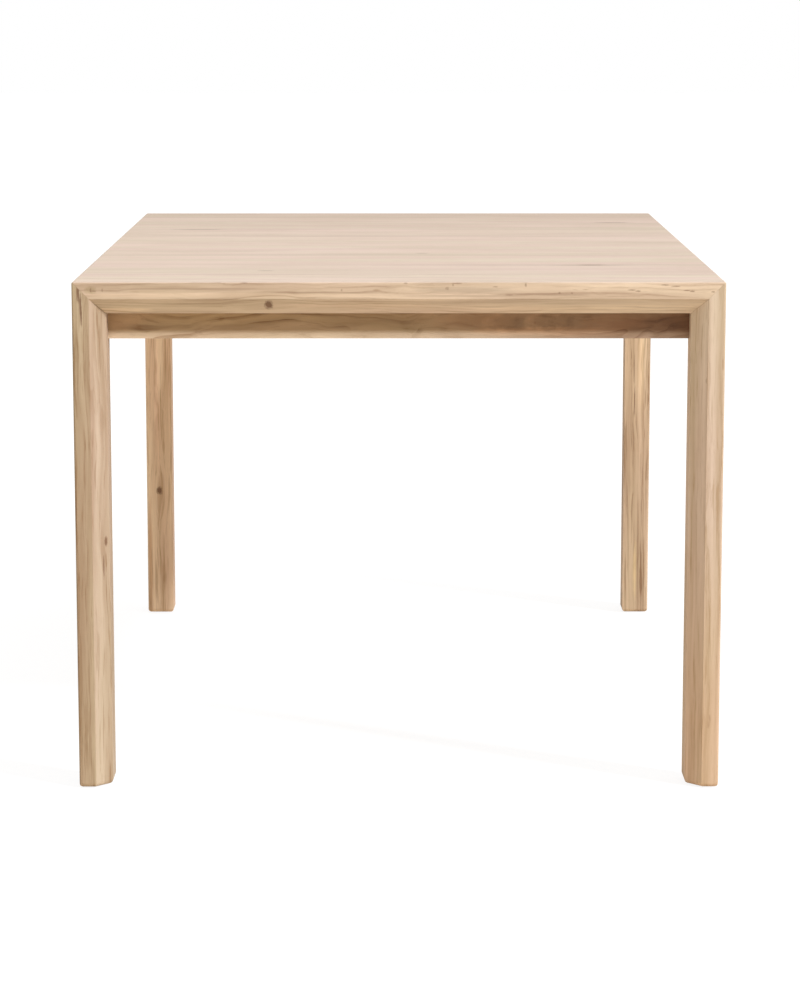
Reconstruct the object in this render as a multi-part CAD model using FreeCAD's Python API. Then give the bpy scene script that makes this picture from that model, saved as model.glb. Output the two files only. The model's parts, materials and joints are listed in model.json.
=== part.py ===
import FreeCAD, Part
import math
import os
from FreeCAD import Vector

# An extending dining table in oak.
# Each end is a loop of two legs and a rail, mitred at the corners and chamfered on its inner edge.
# The top is split across its middle. Each half runs out on its own two legs, along aluminium
# channels on a carriage that stays in the middle and stores the spare leaf under the top.
# A rack on each half and one pinion on the carriage make both halves move alike.
# Lengths are in millimetres. The origin is on the floor under the middle of the table.
# X runs across the table, Y along it, Z up. The front half is the one on the minus Y side.

# Closed table
TABLE_WIDTH = 950.0
TABLE_HEIGHT = 755.0
SEAM_GAP = 0.3

# Top and its end staves
TOP_THICKNESS = 25.0
END_STAVE_WIDTH = 120.0

# End frames
FRAME_FACE = 48.0
FACE_FLAT = 25.0
LEG_DEPTH = 72.0
CHAMFER_DEPTH = 24.0
EDGE_ROUND = 3.0
FOOT_ROUND = 7.0

# Loose tenons in the mitres
MITRE_ANGLE = 45.0
MITRE_TENON_THICKNESS = 8.0
MITRE_TENON_WIDTH = 40.0
MITRE_TENON_LENGTH = 24.0
TENON_FIT = 0.2

# Aprons
APRON_THICKNESS = 20.0
APRON_DROP = 40.0
SIDE_APRON_INSET = 15.0
APRON_TENON_LENGTH = 14.0
APRON_TENON_THICKNESS = 10.0
APRON_TENON_SHOULDER = 8.0
END_TENON_HEIGHT = 18.0
SIDE_TENON_HEIGHT = 38.0

# Corner blocks and the bolts that hold the legs
CORNER_BLOCK_REACH = 50.0
CORNER_BLOCK_TOE = 12.0
CORNER_BLOCK_DEPTH = 46.0
CORNER_BLOCK_MARGIN = 5.0
LEG_BOLT_RADIUS = 3.0
LEG_BOLT_INSET = 6.5
LEG_BOLT_BELOW_RAIL = 7.0
LEG_BOLT_IN_LEG = 38.0
LEG_BOLT_TAIL = 2.0
WASHER_RADIUS = 6.2
WASHER_THICKNESS = 1.5
NUT_ACROSS_FLATS = 10.0
NUT_HEIGHT = 5.0
NUT_SIDES = 6
BOLT_FIT = 0.15

# Foot glides
FOOT_STAND = 1.5
GLIDE_RADIUS = 14.0
GLIDE_THICKNESS = 4.0
GLIDE_NAIL_RADIUS = 2.0
GLIDE_NAIL_LENGTH = 12.0
GLIDE_FIT = 0.2

# Leaf, kept turned from its place in use, so its length lies along the table
LEAF_PAD_THICKNESS = 1.0
LEAF_PAD_WIDTH = 60.0
LEAF_TO_TOP = 9.0
LEAF_PAD_PLACE_SHARE = 0.7

# Locating pins in the seam and in the leaf
PIN_RADIUS = 4.0
PIN_PROUD = 12.0
PIN_SUNK = 20.0
PIN_FIT = 0.2
PIN_FROM_MIDDLE = 350.0
BUSH_RADIUS = 6.0
BUSH_LENGTH = 16.0

# How far each half runs, and the stops that end it
EXTRA_OPENING = 4.0
STOP_CLEARANCE = 0.5
STOP_WIDTH = 16.0
STOP_LENGTH = 18.0
STOP_BELOW_BAR_TOP = 11.0
STOP_TO_FLANGE = 4.0

# Channels on the halves
CHANNEL_WIDTH = 24.0
CHANNEL_HEIGHT = 26.0
CHANNEL_WALL = 2.5
CHANNEL_SLOT = 9.2
CHANNEL_SEAM_SETBACK = 2.0
CHANNEL_TO_BLOCK = 12.0

# Runners of the carriage
RUNNER_PAST_BAR = 60.0
RUNNER_TO_CHANNEL_END = 20.0
RUNNER_HEAD_WIDTH = 16.0
RUNNER_HEAD_HEIGHT = 17.0
RUNNER_FLANGE_THICKNESS = 8.0
RUNNER_FLANGE_REACH = 22.0
PAD_LENGTH = 40.0
PAD_CLEARANCE = 0.3
PAD_FROM_END = 12.0
PAD_FROM_SEAM = 60.0

# Cross bars of the carriage
BAR_WIDTH = 40.0
BAR_HEIGHT = 24.0
BAR_TO_CHANNEL = 2.0
BAR_PAST_LEAF = 15.0

# Keepers that hold the stored leaf at its corners
KEEPER_THICKNESS = 8.0
KEEPER_ARM = 30.0
KEEPER_HEIGHT = 17.0
KEEPER_CLEARANCE = 0.6

# Rack and pinion
GEAR_MODULE = 2.0
PINION_TEETH = 18
PRESSURE_ANGLE = 20.0
BACKLASH = 0.3
ROOT_SHARE = 1.25
RACK_TIP_SHARE = 0.9
FLANK_POINTS = 3
GEAR_THICKNESS = 10.0
GEAR_ABOVE_BAR = 5.0
RACK_TO_STOP = 3.0
RACK_BACK = 8.0
RACK_SPARE = 16.0
RACK_TAIL = 150.0
RACK_SPACER_WIDTH = 12.0
RACK_SPACER_SETBACK = 22.0
AXLE_RADIUS = 4.0
AXLE_RUNNING_FIT = 0.06
AXLE_SUNK = 15.0
AXLE_HEAD_RADIUS = 7.0
AXLE_HEAD_HEIGHT = 3.5
AXLE_HEAD_GAP = 0.3
PLATE_LENGTH = 74.0
PLATE_CLEARANCE = 0.4

# Locks across the seam
LOCK_TO_RACK = 3.75
LOCK_TO_PIN = 8.0
LOCK_FROM_SEAM = 22.0
LOCK_REACH = 46.0
LOCK_RIM = 8.0
LOCK_HALF_ANGLE = 14.0
LOCK_THICKNESS = 4.0
LOCK_BELOW_TOP = 3.0
LOCK_HUB_RADIUS = 11.0
LOCK_HUB_GAP = 0.3
LOCK_TAIL_REACH = 24.0
LOCK_TAIL_WIDTH = 14.0
LOCK_KNOB_RADIUS = 7.0
LOCK_KNOB_WAIST = 4.5
LOCK_KNOB_HEIGHT = 17.0
LOCK_HEAD_RADIUS = 8.0
LOCK_HEAD_HEIGHT = 3.4
STRIKE_RADIUS = 3.0
STRIKE_PLATE_WIDTH = 24.0
STRIKE_PLATE_LENGTH = 28.0
STRIKE_PLATE_THICKNESS = 1.5
STRIKE_DROP = 8.0
STRIKE_DOWEL = 12.0
STRIKE_SLOT_GAP = 0.4

# Clips that hold the top to the side aprons
CLIP_WIDTH = 20.0
CLIP_THICKNESS = 2.0
CLIP_PLATE = 18.0
CLIP_STEP = 12.0
CLIP_BITE = 6.0
CLIP_STANDOFF = 6.0
CLIP_GROOVE_GAP = 0.5
CLIP_PLACE_SHARES = (0.25, 0.75)

# Fasteners, pins, journals and their holes have flat sides
FASTENER_SIDES = 6
PIN_SIDES = 12
DISC_SIDES = 18
JOURNAL_SIDES = 24

# Screws
SCREW_RADIUS = 1.9
SCREW_HEAD_RADIUS = 3.8
SCREW_HEAD_HEIGHT = 2.2
SCREW_IN_WOOD = 15.0
SCREW_FIT = 0.1
CHANNEL_SCREW_SHARES = (0.1, 0.5, 0.9)
BAR_SCREW_SPREAD_SHARE = 0.3
RACK_SCREW_SHARES = (0.15, 0.85)

# One overrun for every cut, and one tolerance for picking edges
OVERRUN = 10.0
PICK = 0.01

# Heights that follow from the sizes above
RAIL_BOTTOM = TABLE_HEIGHT - FRAME_FACE
TOP_UNDERSIDE = TABLE_HEIGHT - TOP_THICKNESS
APRON_BOTTOM = RAIL_BOTTOM - APRON_DROP
LEAF_TOP = TOP_UNDERSIDE - LEAF_TO_TOP
LEAF_BOTTOM = LEAF_TOP - TOP_THICKNESS
LEAF_MIDDLE = LEAF_BOTTOM + TOP_THICKNESS / 2
BAR_TOP = LEAF_BOTTOM - LEAF_PAD_THICKNESS
BAR_BOTTOM = BAR_TOP - BAR_HEIGHT
RUNNER_MIDDLE = BAR_TOP + RUNNER_FLANGE_THICKNESS / 2
GEAR_BOTTOM = BAR_TOP + GEAR_ABOVE_BAR
GEAR_TOP = GEAR_BOTTOM + GEAR_THICKNESS
LOCK_TOP = TOP_UNDERSIDE - LOCK_BELOW_TOP
LOCK_BOTTOM = LOCK_TOP - LOCK_THICKNESS

# From a side of the table inwards: apron, channel, runner, stop, racks, lock, and the rest for the leaf
HALF_WIDTH = TABLE_WIDTH / 2
LEG_INNER = HALF_WIDTH - FRAME_FACE
CHAMFER_WIDTH = FRAME_FACE - FACE_FLAT
APRON_OUTER = HALF_WIDTH - SIDE_APRON_INSET
APRON_INNER = APRON_OUTER - APRON_THICKNESS
CHANNEL_FACE = APRON_INNER - CHANNEL_WIDTH
HEAD_MIDDLE = CHANNEL_FACE + CHANNEL_WIDTH / 2
BAR_END = CHANNEL_FACE - BAR_TO_CHANNEL
FLANGE_EDGE = CHANNEL_FACE - RUNNER_FLANGE_REACH
STOP_OUTER = FLANGE_EDGE - STOP_TO_FLANGE
STOP_INNER = STOP_OUTER - STOP_WIDTH
PITCH_RADIUS = GEAR_MODULE * PINION_TEETH / 2
TOOTH_PITCH = math.pi * GEAR_MODULE
RACK_ROOT = GEAR_MODULE * ROOT_SHARE
RACK_LINE = PITCH_RADIUS + (RACK_ROOT + RACK_BACK) / 2
PINION_FROM_MIDDLE = STOP_INNER - RACK_TO_STOP - PITCH_RADIUS - RACK_BACK
PINION_X = -PINION_FROM_MIDDLE
INNER_SPACER_EDGE = PINION_FROM_MIDDLE - RACK_LINE - RACK_SPACER_WIDTH / 2
LOCK_X = INNER_SPACER_EDGE - LOCK_TO_RACK - LOCK_TAIL_REACH - LOCK_TAIL_WIDTH / 2
LEAF_HALF_WIDTH = LOCK_X - LOCK_HUB_RADIUS - LOCK_TO_PIN - PIN_PROUD
TRAVEL = LEAF_HALF_WIDTH + EXTRA_OPENING

# From the middle of the table to its end: leaf, end cross bar, runner, channel, corner block and leg
LEAF_HALF_LENGTH = HALF_WIDTH
BAR_OUTER = LEAF_HALF_LENGTH + BAR_PAST_LEAF
BAR_INNER = BAR_OUTER - BAR_WIDTH
END_BAR = BAR_OUTER - BAR_WIDTH / 2
RUNNER_END = BAR_OUTER + RUNNER_PAST_BAR
CHANNEL_START = -RUNNER_END - RUNNER_TO_CHANNEL_END
BLOCK_BACK = CHANNEL_START - CHANNEL_TO_BLOCK
LEG_BACK = BLOCK_BACK - CORNER_BLOCK_DEPTH
FRONT = LEG_BACK - LEG_DEPTH
SEAM = -SEAM_GAP / 2
CHANNEL_END = SEAM - CHANNEL_SEAM_SETBACK
STOP_FACE = TRAVEL + STOP_CLEARANCE - BAR_INNER

ORIGIN = Vector(0, 0, 0)
ALONG_X = Vector(1, 0, 0)
ALONG_Y = Vector(0, 1, 0)
UP = Vector(0, 0, 1)


def box(x, y, z):
    """A block between two values on each axis, given in any order."""
    low = Vector(min(x), min(y), min(z))
    return Part.makeBox(max(x) - min(x), max(y) - min(y), max(z) - min(z), low)


def both_sides(half):
    """The span from minus to plus a value."""
    return (-half, half)


def around(middle, width):
    """The span of a width about its middle."""
    return (middle - width / 2, middle + width / 2)


def rod(place, direction, radius, length):
    return Part.makeCylinder(radius, length, place, direction)


def ring_of_points(radius, sides, height):
    turns = [2 * math.pi * step / sides for step in range(sides)]
    return [Vector(radius * math.cos(turn), radius * math.sin(turn), height) for turn in turns]


def flat_face(points):
    return Part.Face(Part.makePolygon(points + points[:1]))


def flat_sided(low, high):
    """A solid with flat sides between two outlines that have the same number of corners."""
    faces = [flat_face(low), flat_face(high)]
    for step in range(len(low)):
        faces.append(flat_face([low[step - 1], low[step], high[step], high[step - 1]]))
    return Part.makeSolid(Part.makeShell(faces))


def aimed(shape, place, direction):
    """A shape drawn upright at the origin, moved to a place and turned to a direction."""
    shape.Placement = FreeCAD.Placement(place, FreeCAD.Rotation(UP, direction))
    return shape


def flat_rod(place, direction, radius, length, sides=FASTENER_SIDES):
    """A rod with flat sides, for small fasteners, pins and their holes."""
    face = flat_face(ring_of_points(radius, sides, 0))
    return aimed(face.extrude(Vector(0, 0, length)), place, direction)


def flat_cone(place, direction, radius, far_radius, length, sides=FASTENER_SIDES):
    low = ring_of_points(radius, sides, 0)
    high = ring_of_points(far_radius, sides, length)
    return aimed(flat_sided(low, high), place, direction)


def plan_prism(points, low, high):
    """An outline drawn in plan, raised from one height to another."""
    face = flat_face([Vector(x, y, low) for x, y in points])
    return face.extrude(Vector(0, 0, high - low))


def end_prism(points, start, stop):
    """An outline drawn across the table, run along Y."""
    face = flat_face([Vector(x, start, z) for x, z in points])
    return face.extrude(Vector(0, stop - start, 0))


def to_left(shape):
    return shape.mirror(ORIGIN, ALONG_X)


def to_back(shape):
    return shape.mirror(ORIGIN, ALONG_Y)


def group(shapes):
    return Part.makeCompound(shapes)


def pair(shape):
    """The same piece on the right and on the left."""
    return [shape, to_left(shape)]


def near(one, other):
    return abs(one - other) < PICK


def save(name, shape):
    shape.exportStep("parts/" + name + ".step")
    print(name, len(shape.Solids), round(shape.Volume))


# Screws


def screw(place, direction, length, fit=0):
    """A screw with its flat head outside the place, or the hole for it where fit is given."""
    shank = flat_rod(place, direction, SCREW_RADIUS + fit, length + fit)
    if fit:
        return shank
    head_place = place - direction * SCREW_HEAD_HEIGHT
    return shank.fuse(flat_rod(head_place, direction, SCREW_HEAD_RADIUS, SCREW_HEAD_HEIGHT))


def sunk_screw(place, direction, length, fit=0):
    """A screw with its tapered head flush at the place, or the hole for it."""
    shank = flat_rod(place, direction, SCREW_RADIUS + fit, length + fit)
    wide = SCREW_HEAD_RADIUS + fit
    return shank.fuse(flat_cone(place, direction, wide, SCREW_RADIUS + fit, SCREW_HEAD_HEIGHT))


def drilled(shape, kind, screws):
    """The shape with a hole for each screw in a list of place, direction and length."""
    holes = [kind(place, direction, length, SCREW_FIT) for place, direction, length in screws]
    return shape.cut(holes)


def channel_screws():
    length = CHANNEL_END - CHANNEL_START
    x = APRON_INNER - CHANNEL_WALL
    reach = CHANNEL_WALL + SCREW_IN_WOOD
    places = [CHANNEL_START + share * length for share in CHANNEL_SCREW_SHARES]
    return [(Vector(x, y, RUNNER_MIDDLE), ALONG_X, reach) for y in places]


def clip_places():
    return [LEG_BACK + share * (SEAM - LEG_BACK) for share in CLIP_PLACE_SHARES]


def clip_screws():
    x = APRON_INNER - CLIP_STANDOFF - CLIP_PLATE / 2
    z = TOP_UNDERSIDE - CLIP_THICKNESS
    reach = CLIP_THICKNESS + SCREW_IN_WOOD
    return [(Vector(x, y, z), UP, reach) for y in clip_places()]


def stop_screws():
    x = STOP_OUTER - STOP_WIDTH / 2
    z = BAR_TOP - STOP_BELOW_BAR_TOP
    reach = TOP_UNDERSIDE - z + SCREW_IN_WOOD
    return [(Vector(x, STOP_FACE + STOP_LENGTH / 2, z), UP, reach)]


def rack_screws(side):
    """Screws of the front rack (side 1) or of the back rack (side -1), in the front's places."""
    start = -RACK_TAIL
    length = RACK_TAIL - RACK_SPACER_SETBACK
    x = rack_middle(side)
    reach = TOP_UNDERSIDE - GEAR_BOTTOM + SCREW_IN_WOOD
    places = [start + share * length for share in RACK_SCREW_SHARES]
    return [(Vector(x, y, GEAR_BOTTOM), UP, reach) for y in places]


def bar_screws(middle):
    """Screws through the right runner's flange into the cross bar at one place."""
    x = (FLANGE_EDGE + BAR_END) / 2
    z = BAR_TOP + RUNNER_FLANGE_THICKNESS
    reach = RUNNER_FLANGE_THICKNESS + SCREW_IN_WOOD
    offset = BAR_WIDTH * BAR_SCREW_SPREAD_SHARE
    return [(Vector(x, y, z), -UP, reach) for y in (middle - offset, middle + offset)]


# End frame


def frame_opening():
    """The space between the legs, with the slope of the chamfer all round it."""
    grow = CHAMFER_WIDTH / CHAMFER_DEPTH
    outlines = []
    for y in (FRONT - OVERRUN, FRONT + CHAMFER_DEPTH + OVERRUN):
        spread = (FRONT + CHAMFER_DEPTH - y) * grow
        x = LEG_INNER + spread
        z = RAIL_BOTTOM + spread
        low = -OVERRUN
        outlines.append([Vector(-x, y, low), Vector(x, y, low), Vector(x, y, z), Vector(-x, y, z)])
    slope = flat_sided(outlines[0], outlines[1])
    through = (FRONT - OVERRUN, LEG_BACK + OVERRUN)
    return slope.fuse(box(both_sides(LEG_INNER), through, (-OVERRUN, RAIL_BOTTOM)))


def frame_loop():
    """Both legs and the rail as one loop, before the mitres part them."""
    loop = box(both_sides(HALF_WIDTH), (FRONT, LEG_BACK), (FOOT_STAND, TABLE_HEIGHT))
    chosen = []
    for edge in loop.Edges:
        middle = edge.CenterOfMass
        at_foot = near(middle.z, FOOT_STAND)
        at_top_joint = near(middle.z, TABLE_HEIGHT) and near(middle.y, LEG_BACK)
        if not at_foot and not at_top_joint:
            chosen.append(edge)
    return loop.makeFillet(EDGE_ROUND, chosen).cut(frame_opening())


def mitre_region():
    """The right leg's side of the mitre plane."""
    outer = HALF_WIDTH + OVERRUN
    inner = LEG_INNER - OVERRUN
    points = [(outer, TABLE_HEIGHT + OVERRUN), (inner, RAIL_BOTTOM - OVERRUN)]
    points += [(inner, -OVERRUN), (outer, -OVERRUN)]
    return end_prism(points, FRONT - OVERRUN, LEG_BACK + OVERRUN)


def foot_form():
    """The leg's plain section with its bottom edges rounded."""
    flat = LEG_INNER + CHAMFER_WIDTH
    slope_back = FRONT + CHAMFER_DEPTH
    points = [(HALF_WIDTH, FRONT), (HALF_WIDTH, LEG_BACK), (LEG_INNER, LEG_BACK)]
    points += [(LEG_INNER, slope_back), (flat, FRONT)]
    form = plan_prism(points, FOOT_STAND, TABLE_HEIGHT)
    chosen = [edge for edge in form.Edges if near(edge.CenterOfMass.z, FOOT_STAND)]
    return form.makeFillet(FOOT_ROUND, chosen)


def mitre_tenon(fit=0):
    """A loose tenon square across the right mitre, or its slot where fit is given."""
    half_length = MITRE_TENON_LENGTH / 2 + fit
    half_thickness = MITRE_TENON_THICKNESS / 2 + fit
    half_width = MITRE_TENON_WIDTH / 2 + fit
    tenon = box(both_sides(half_length), both_sides(half_width), both_sides(half_thickness))
    tenon.rotate(ORIGIN, ALONG_Y, MITRE_ANGLE)
    middle = FRAME_FACE / 2
    y = (FRONT + LEG_BACK + CHAMFER_DEPTH) / 2
    tenon.translate(Vector(LEG_INNER + middle, y, RAIL_BOTTOM + middle))
    return tenon


def glide_middle():
    return Vector(HALF_WIDTH - FRAME_FACE / 2, (FRONT + LEG_BACK) / 2, 0)


def foot_glide(fit=0):
    place = glide_middle()
    disc = flat_rod(place, UP, GLIDE_RADIUS + fit, GLIDE_THICKNESS + fit, DISC_SIDES)
    nail_foot = place + UP * GLIDE_THICKNESS
    return disc.fuse(flat_rod(nail_foot, UP, GLIDE_NAIL_RADIUS + fit, GLIDE_NAIL_LENGTH + fit))


def leg_bolt_line():
    return APRON_INNER - LEG_BOLT_INSET, RAIL_BOTTOM - LEG_BOLT_BELOW_RAIL


def leg_bolt(fit=0):
    """A stud from the leg through the corner block, or its hole."""
    x, z = leg_bolt_line()
    start = LEG_BACK - LEG_BOLT_IN_LEG - fit
    end = BLOCK_BACK + WASHER_THICKNESS + NUT_HEIGHT + LEG_BOLT_TAIL + fit
    return flat_rod(Vector(x, start, z), ALONG_Y, LEG_BOLT_RADIUS + fit, end - start)


def leg_washer_and_nut():
    x, z = leg_bolt_line()
    bore = leg_bolt(BOLT_FIT)
    washer = flat_rod(Vector(x, BLOCK_BACK, z), ALONG_Y, WASHER_RADIUS, WASHER_THICKNESS, DISC_SIDES)
    corner = NUT_ACROSS_FLATS / 2 / math.cos(math.pi / NUT_SIDES)
    nut_place = Vector(x, BLOCK_BACK + WASHER_THICKNESS, z)
    nut = flat_rod(nut_place, ALONG_Y, corner, NUT_HEIGHT, NUT_SIDES)
    return [washer.cut(bore), nut.cut(bore)]


def right_leg(loop):
    leg = loop.common(mitre_region()).common(foot_form())
    cuts = [mitre_tenon(TENON_FIT), foot_glide(GLIDE_FIT), leg_bolt(BOLT_FIT)]
    cuts.append(end_apron_tenon(TENON_FIT))
    cuts.append(side_apron_tenon(TENON_FIT))
    return leg.cut(cuts)


def end_rail(loop):
    """The rail of the loop, with the first stave of the top in one piece with it."""
    rail = loop.cut(pair(mitre_region()))
    stave = box(both_sides(HALF_WIDTH), (LEG_BACK, FRONT + END_STAVE_WIDTH), (TOP_UNDERSIDE, TABLE_HEIGHT))
    stave = round_side_edges(stave)
    return rail.fuse(stave).cut(pair(mitre_tenon(TENON_FIT)))


def round_side_edges(board):
    """Rounds the long edges at the table's two sides."""
    chosen = []
    for edge in board.Edges:
        middle = edge.CenterOfMass
        across = near(abs(middle.x), HALF_WIDTH)
        level = near(middle.z, TABLE_HEIGHT) or near(middle.z, TOP_UNDERSIDE)
        if across and level:
            chosen.append(edge)
    return board.makeFillet(EDGE_ROUND, chosen)


# Top


def seam_pin_line(seam_y, z):
    return [Vector(x, seam_y, z) for x in (-PIN_FROM_MIDDLE, 0, PIN_FROM_MIDDLE)]


def top_board():
    board = box(both_sides(HALF_WIDTH), (FRONT + END_STAVE_WIDTH, SEAM), (TOP_UNDERSIDE, TABLE_HEIGHT))
    return round_side_edges(board)


def top_screw_lists():
    lists = clip_screws() + stop_screws()
    return lists + [mirrored_screw(item) for item in lists]


def mirrored_screw(item):
    place, direction, length = item
    return (Vector(-place.x, place.y, place.z), Vector(-direction.x, direction.y, direction.z), length)


def pin_middle():
    return TOP_UNDERSIDE + TOP_THICKNESS / 2


def locating_pins(places, outward):
    """Pins that stand proud of an edge, each sunk in the board behind it."""
    length = PIN_SUNK + PIN_PROUD
    return [flat_rod(place - outward * PIN_SUNK, outward, PIN_RADIUS, length, PIN_SIDES) for place in places]


def pin_holes(places, outward):
    length = PIN_SUNK + OVERRUN
    return [flat_rod(place - outward * PIN_SUNK, outward, PIN_RADIUS, length, PIN_SIDES) for place in places]


def bushes(places, inward):
    """Bushes flush in an edge, each bored for a pin."""
    made = []
    for place in places:
        bush = flat_rod(place, inward, BUSH_RADIUS, BUSH_LENGTH, PIN_SIDES)
        made.append(bush.cut(flat_rod(place, inward, PIN_RADIUS + PIN_FIT, BUSH_LENGTH, PIN_SIDES)))
    return made


def bush_holes(places, inward):
    return [flat_rod(place, inward, BUSH_RADIUS, BUSH_LENGTH, PIN_SIDES) for place in places]


# Aprons


def end_apron_tenon(fit=0):
    """The right tenon of the end apron, or its mortise."""
    y = around(LEG_BACK - APRON_THICKNESS / 2, APRON_TENON_THICKNESS + 2 * fit)
    low = APRON_BOTTOM + APRON_TENON_SHOULDER
    z = (low - fit, low + END_TENON_HEIGHT + fit)
    return box((LEG_INNER, LEG_INNER + APRON_TENON_LENGTH + fit), y, z)


def side_apron_tenon(fit=0):
    """The tenon at the leg end of the right side apron, or its mortise."""
    x = around(APRON_INNER + APRON_THICKNESS / 2, APRON_TENON_THICKNESS + 2 * fit)
    low = APRON_BOTTOM + APRON_TENON_SHOULDER
    z = (low - fit, low + SIDE_TENON_HEIGHT + fit)
    return box(x, (LEG_BACK - APRON_TENON_LENGTH - fit, LEG_BACK), z)


def end_apron():
    board = box(both_sides(LEG_INNER), (LEG_BACK - APRON_THICKNESS, LEG_BACK), (APRON_BOTTOM, RAIL_BOTTOM))
    return board.fuse(pair(end_apron_tenon()))


def side_apron():
    board = box((APRON_INNER, APRON_OUTER), (LEG_BACK, SEAM), (APRON_BOTTOM, TOP_UNDERSIDE))
    board = board.fuse(side_apron_tenon())
    tongue_middle = TOP_UNDERSIDE - CLIP_STEP - CLIP_THICKNESS / 2
    groove_z = around(tongue_middle, CLIP_THICKNESS + 2 * CLIP_GROOVE_GAP)
    groove_x = (APRON_INNER - OVERRUN, APRON_INNER + CLIP_BITE + CLIP_GROOVE_GAP)
    grooves = []
    for y in clip_places():
        grooves.append(box(groove_x, around(y, CLIP_WIDTH + 2 * CLIP_GROOVE_GAP), groove_z))
    return drilled(board.cut(grooves), sunk_screw, channel_screws())


def top_clips():
    """Stepped clips, each screwed to the top with its tongue in the apron."""
    inner = APRON_INNER - CLIP_STANDOFF - CLIP_PLATE
    riser = APRON_INNER - CLIP_STANDOFF
    tip = APRON_INNER + CLIP_BITE
    high = TOP_UNDERSIDE
    low = TOP_UNDERSIDE - CLIP_STEP
    sheet = CLIP_THICKNESS
    points = [(inner, high), (inner, high - sheet), (riser, high - sheet), (riser, low - sheet)]
    points += [(tip, low - sheet), (tip, low), (riser + sheet, low), (riser + sheet, high)]
    clips = []
    for y in clip_places():
        start, stop = around(y, CLIP_WIDTH)
        clips.append(drilled(end_prism(points, start, stop), screw, clip_screws()))
    return clips


def corner_block():
    """A block glued in the right corner, with a flat for the leg bolt's nut."""
    heel = APRON_INNER
    toe = APRON_INNER - CORNER_BLOCK_REACH
    flat = APRON_INNER - 2 * WASHER_RADIUS
    points = [(heel, LEG_BACK), (toe, LEG_BACK), (toe, LEG_BACK + CORNER_BLOCK_TOE)]
    points += [(flat, BLOCK_BACK), (heel, BLOCK_BACK)]
    block = plan_prism(points, APRON_BOTTOM + CORNER_BLOCK_MARGIN, TOP_UNDERSIDE - CORNER_BLOCK_MARGIN)
    return block.cut(leg_bolt(BOLT_FIT))


# Channels and stops of a half


def channel():
    """A lipped channel on the right side apron, open towards the middle of the table."""
    x = (CHANNEL_FACE, APRON_INNER)
    y = (CHANNEL_START, CHANNEL_END)
    body = box(x, y, around(RUNNER_MIDDLE, CHANNEL_HEIGHT))
    past = (CHANNEL_START - OVERRUN, CHANNEL_END + OVERRUN)
    inside = (CHANNEL_FACE + CHANNEL_WALL, APRON_INNER - CHANNEL_WALL)
    hollow = box(inside, past, around(RUNNER_MIDDLE, CHANNEL_HEIGHT - 2 * CHANNEL_WALL))
    slot = box((CHANNEL_FACE - OVERRUN, HEAD_MIDDLE), past, around(RUNNER_MIDDLE, CHANNEL_SLOT))
    return drilled(body.cut([hollow, slot]), sunk_screw, channel_screws())


def travel_stop():
    x = (STOP_OUTER - STOP_WIDTH, STOP_OUTER)
    y = (STOP_FACE, STOP_FACE + STOP_LENGTH)
    block = box(x, y, (BAR_TOP - STOP_BELOW_BAR_TOP, TOP_UNDERSIDE))
    return drilled(block, screw, stop_screws())


# Rack and pinion


def rack_middle(side):
    """The middle of a rack's screw line, on the inner (1) or outer (-1) side of the pinion."""
    return PINION_X + side * RACK_LINE


def rack_outline(side):
    """The plan of a rack: teeth from the seam towards the other half, plain towards its own."""
    tip = PITCH_RADIUS - GEAR_MODULE * RACK_TIP_SHARE
    root = PITCH_RADIUS + RACK_ROOT
    back = PITCH_RADIUS + RACK_BACK
    lean = math.tan(math.radians(PRESSURE_ANGLE))
    half = TOOTH_PITCH / 4 - BACKLASH / 4
    at_tip = half - (PITCH_RADIUS - tip) * lean
    at_root = half + (root - PITCH_RADIUS) * lean
    first = -math.ceil(RACK_SPARE / TOOTH_PITCH)
    last = math.ceil((TRAVEL + RACK_SPARE) / TOOTH_PITCH)
    end = last * TOOTH_PITCH + TOOTH_PITCH / 2
    points = [(back, -RACK_TAIL), (root, -RACK_TAIL)]
    for count in range(first, last + 1):
        y = count * TOOTH_PITCH
        points += [(root, y - at_root), (tip, y - at_tip), (tip, y + at_tip), (root, y + at_root)]
    points += [(root, end), (back, end)]
    return [(PINION_X + side * x, y) for x, y in points]


def rack(side):
    body = plan_prism(rack_outline(side), GEAR_BOTTOM, GEAR_TOP)
    return drilled(body, screw, rack_screws(side))


def rack_spacer(side):
    x = around(rack_middle(side), RACK_SPACER_WIDTH)
    block = box(x, (-RACK_TAIL, -RACK_SPACER_SETBACK), (GEAR_TOP, TOP_UNDERSIDE))
    return drilled(block, screw, rack_screws(side))


def involute(radius, base):
    """The angle of an involute at a radius, measured from its start on the base circle."""
    roll = math.sqrt(max((radius / base) ** 2 - 1, 0))
    return roll - math.atan(roll)


def pinion():
    base = PITCH_RADIUS * math.cos(math.radians(PRESSURE_ANGLE))
    tip = PITCH_RADIUS + GEAR_MODULE
    root = PITCH_RADIUS - RACK_ROOT
    half_at_pitch = math.pi / (2 * PINION_TEETH) - BACKLASH / (4 * PITCH_RADIUS)
    half_at_base = half_at_pitch + involute(PITCH_RADIUS, base)
    flank = [(root, half_at_base)]
    for step in range(FLANK_POINTS):
        radius = base + (tip - base) * step / (FLANK_POINTS - 1)
        flank.append((radius, half_at_base - involute(radius, base)))
    outline = []
    for tooth in range(PINION_TEETH):
        middle = 2 * math.pi * (tooth + 1 / 2) / PINION_TEETH
        for radius, half in flank:
            outline.append((radius, middle - half))
        for radius, half in reversed(flank):
            outline.append((radius, middle + half))
    points = [(PINION_X + radius * math.cos(turn), radius * math.sin(turn)) for radius, turn in outline]
    wheel = plan_prism(points, GEAR_BOTTOM, GEAR_TOP)
    return wheel.cut(journal(Vector(PINION_X, 0, GEAR_BOTTOM), GEAR_THICKNESS, AXLE_RUNNING_FIT))


def journal(place, length, fit=0):
    """The upright pin that the pinion or a lever turns on, or its bore where fit is given."""
    return flat_rod(place, UP, AXLE_RADIUS + fit, length, JOURNAL_SIDES)


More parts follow.
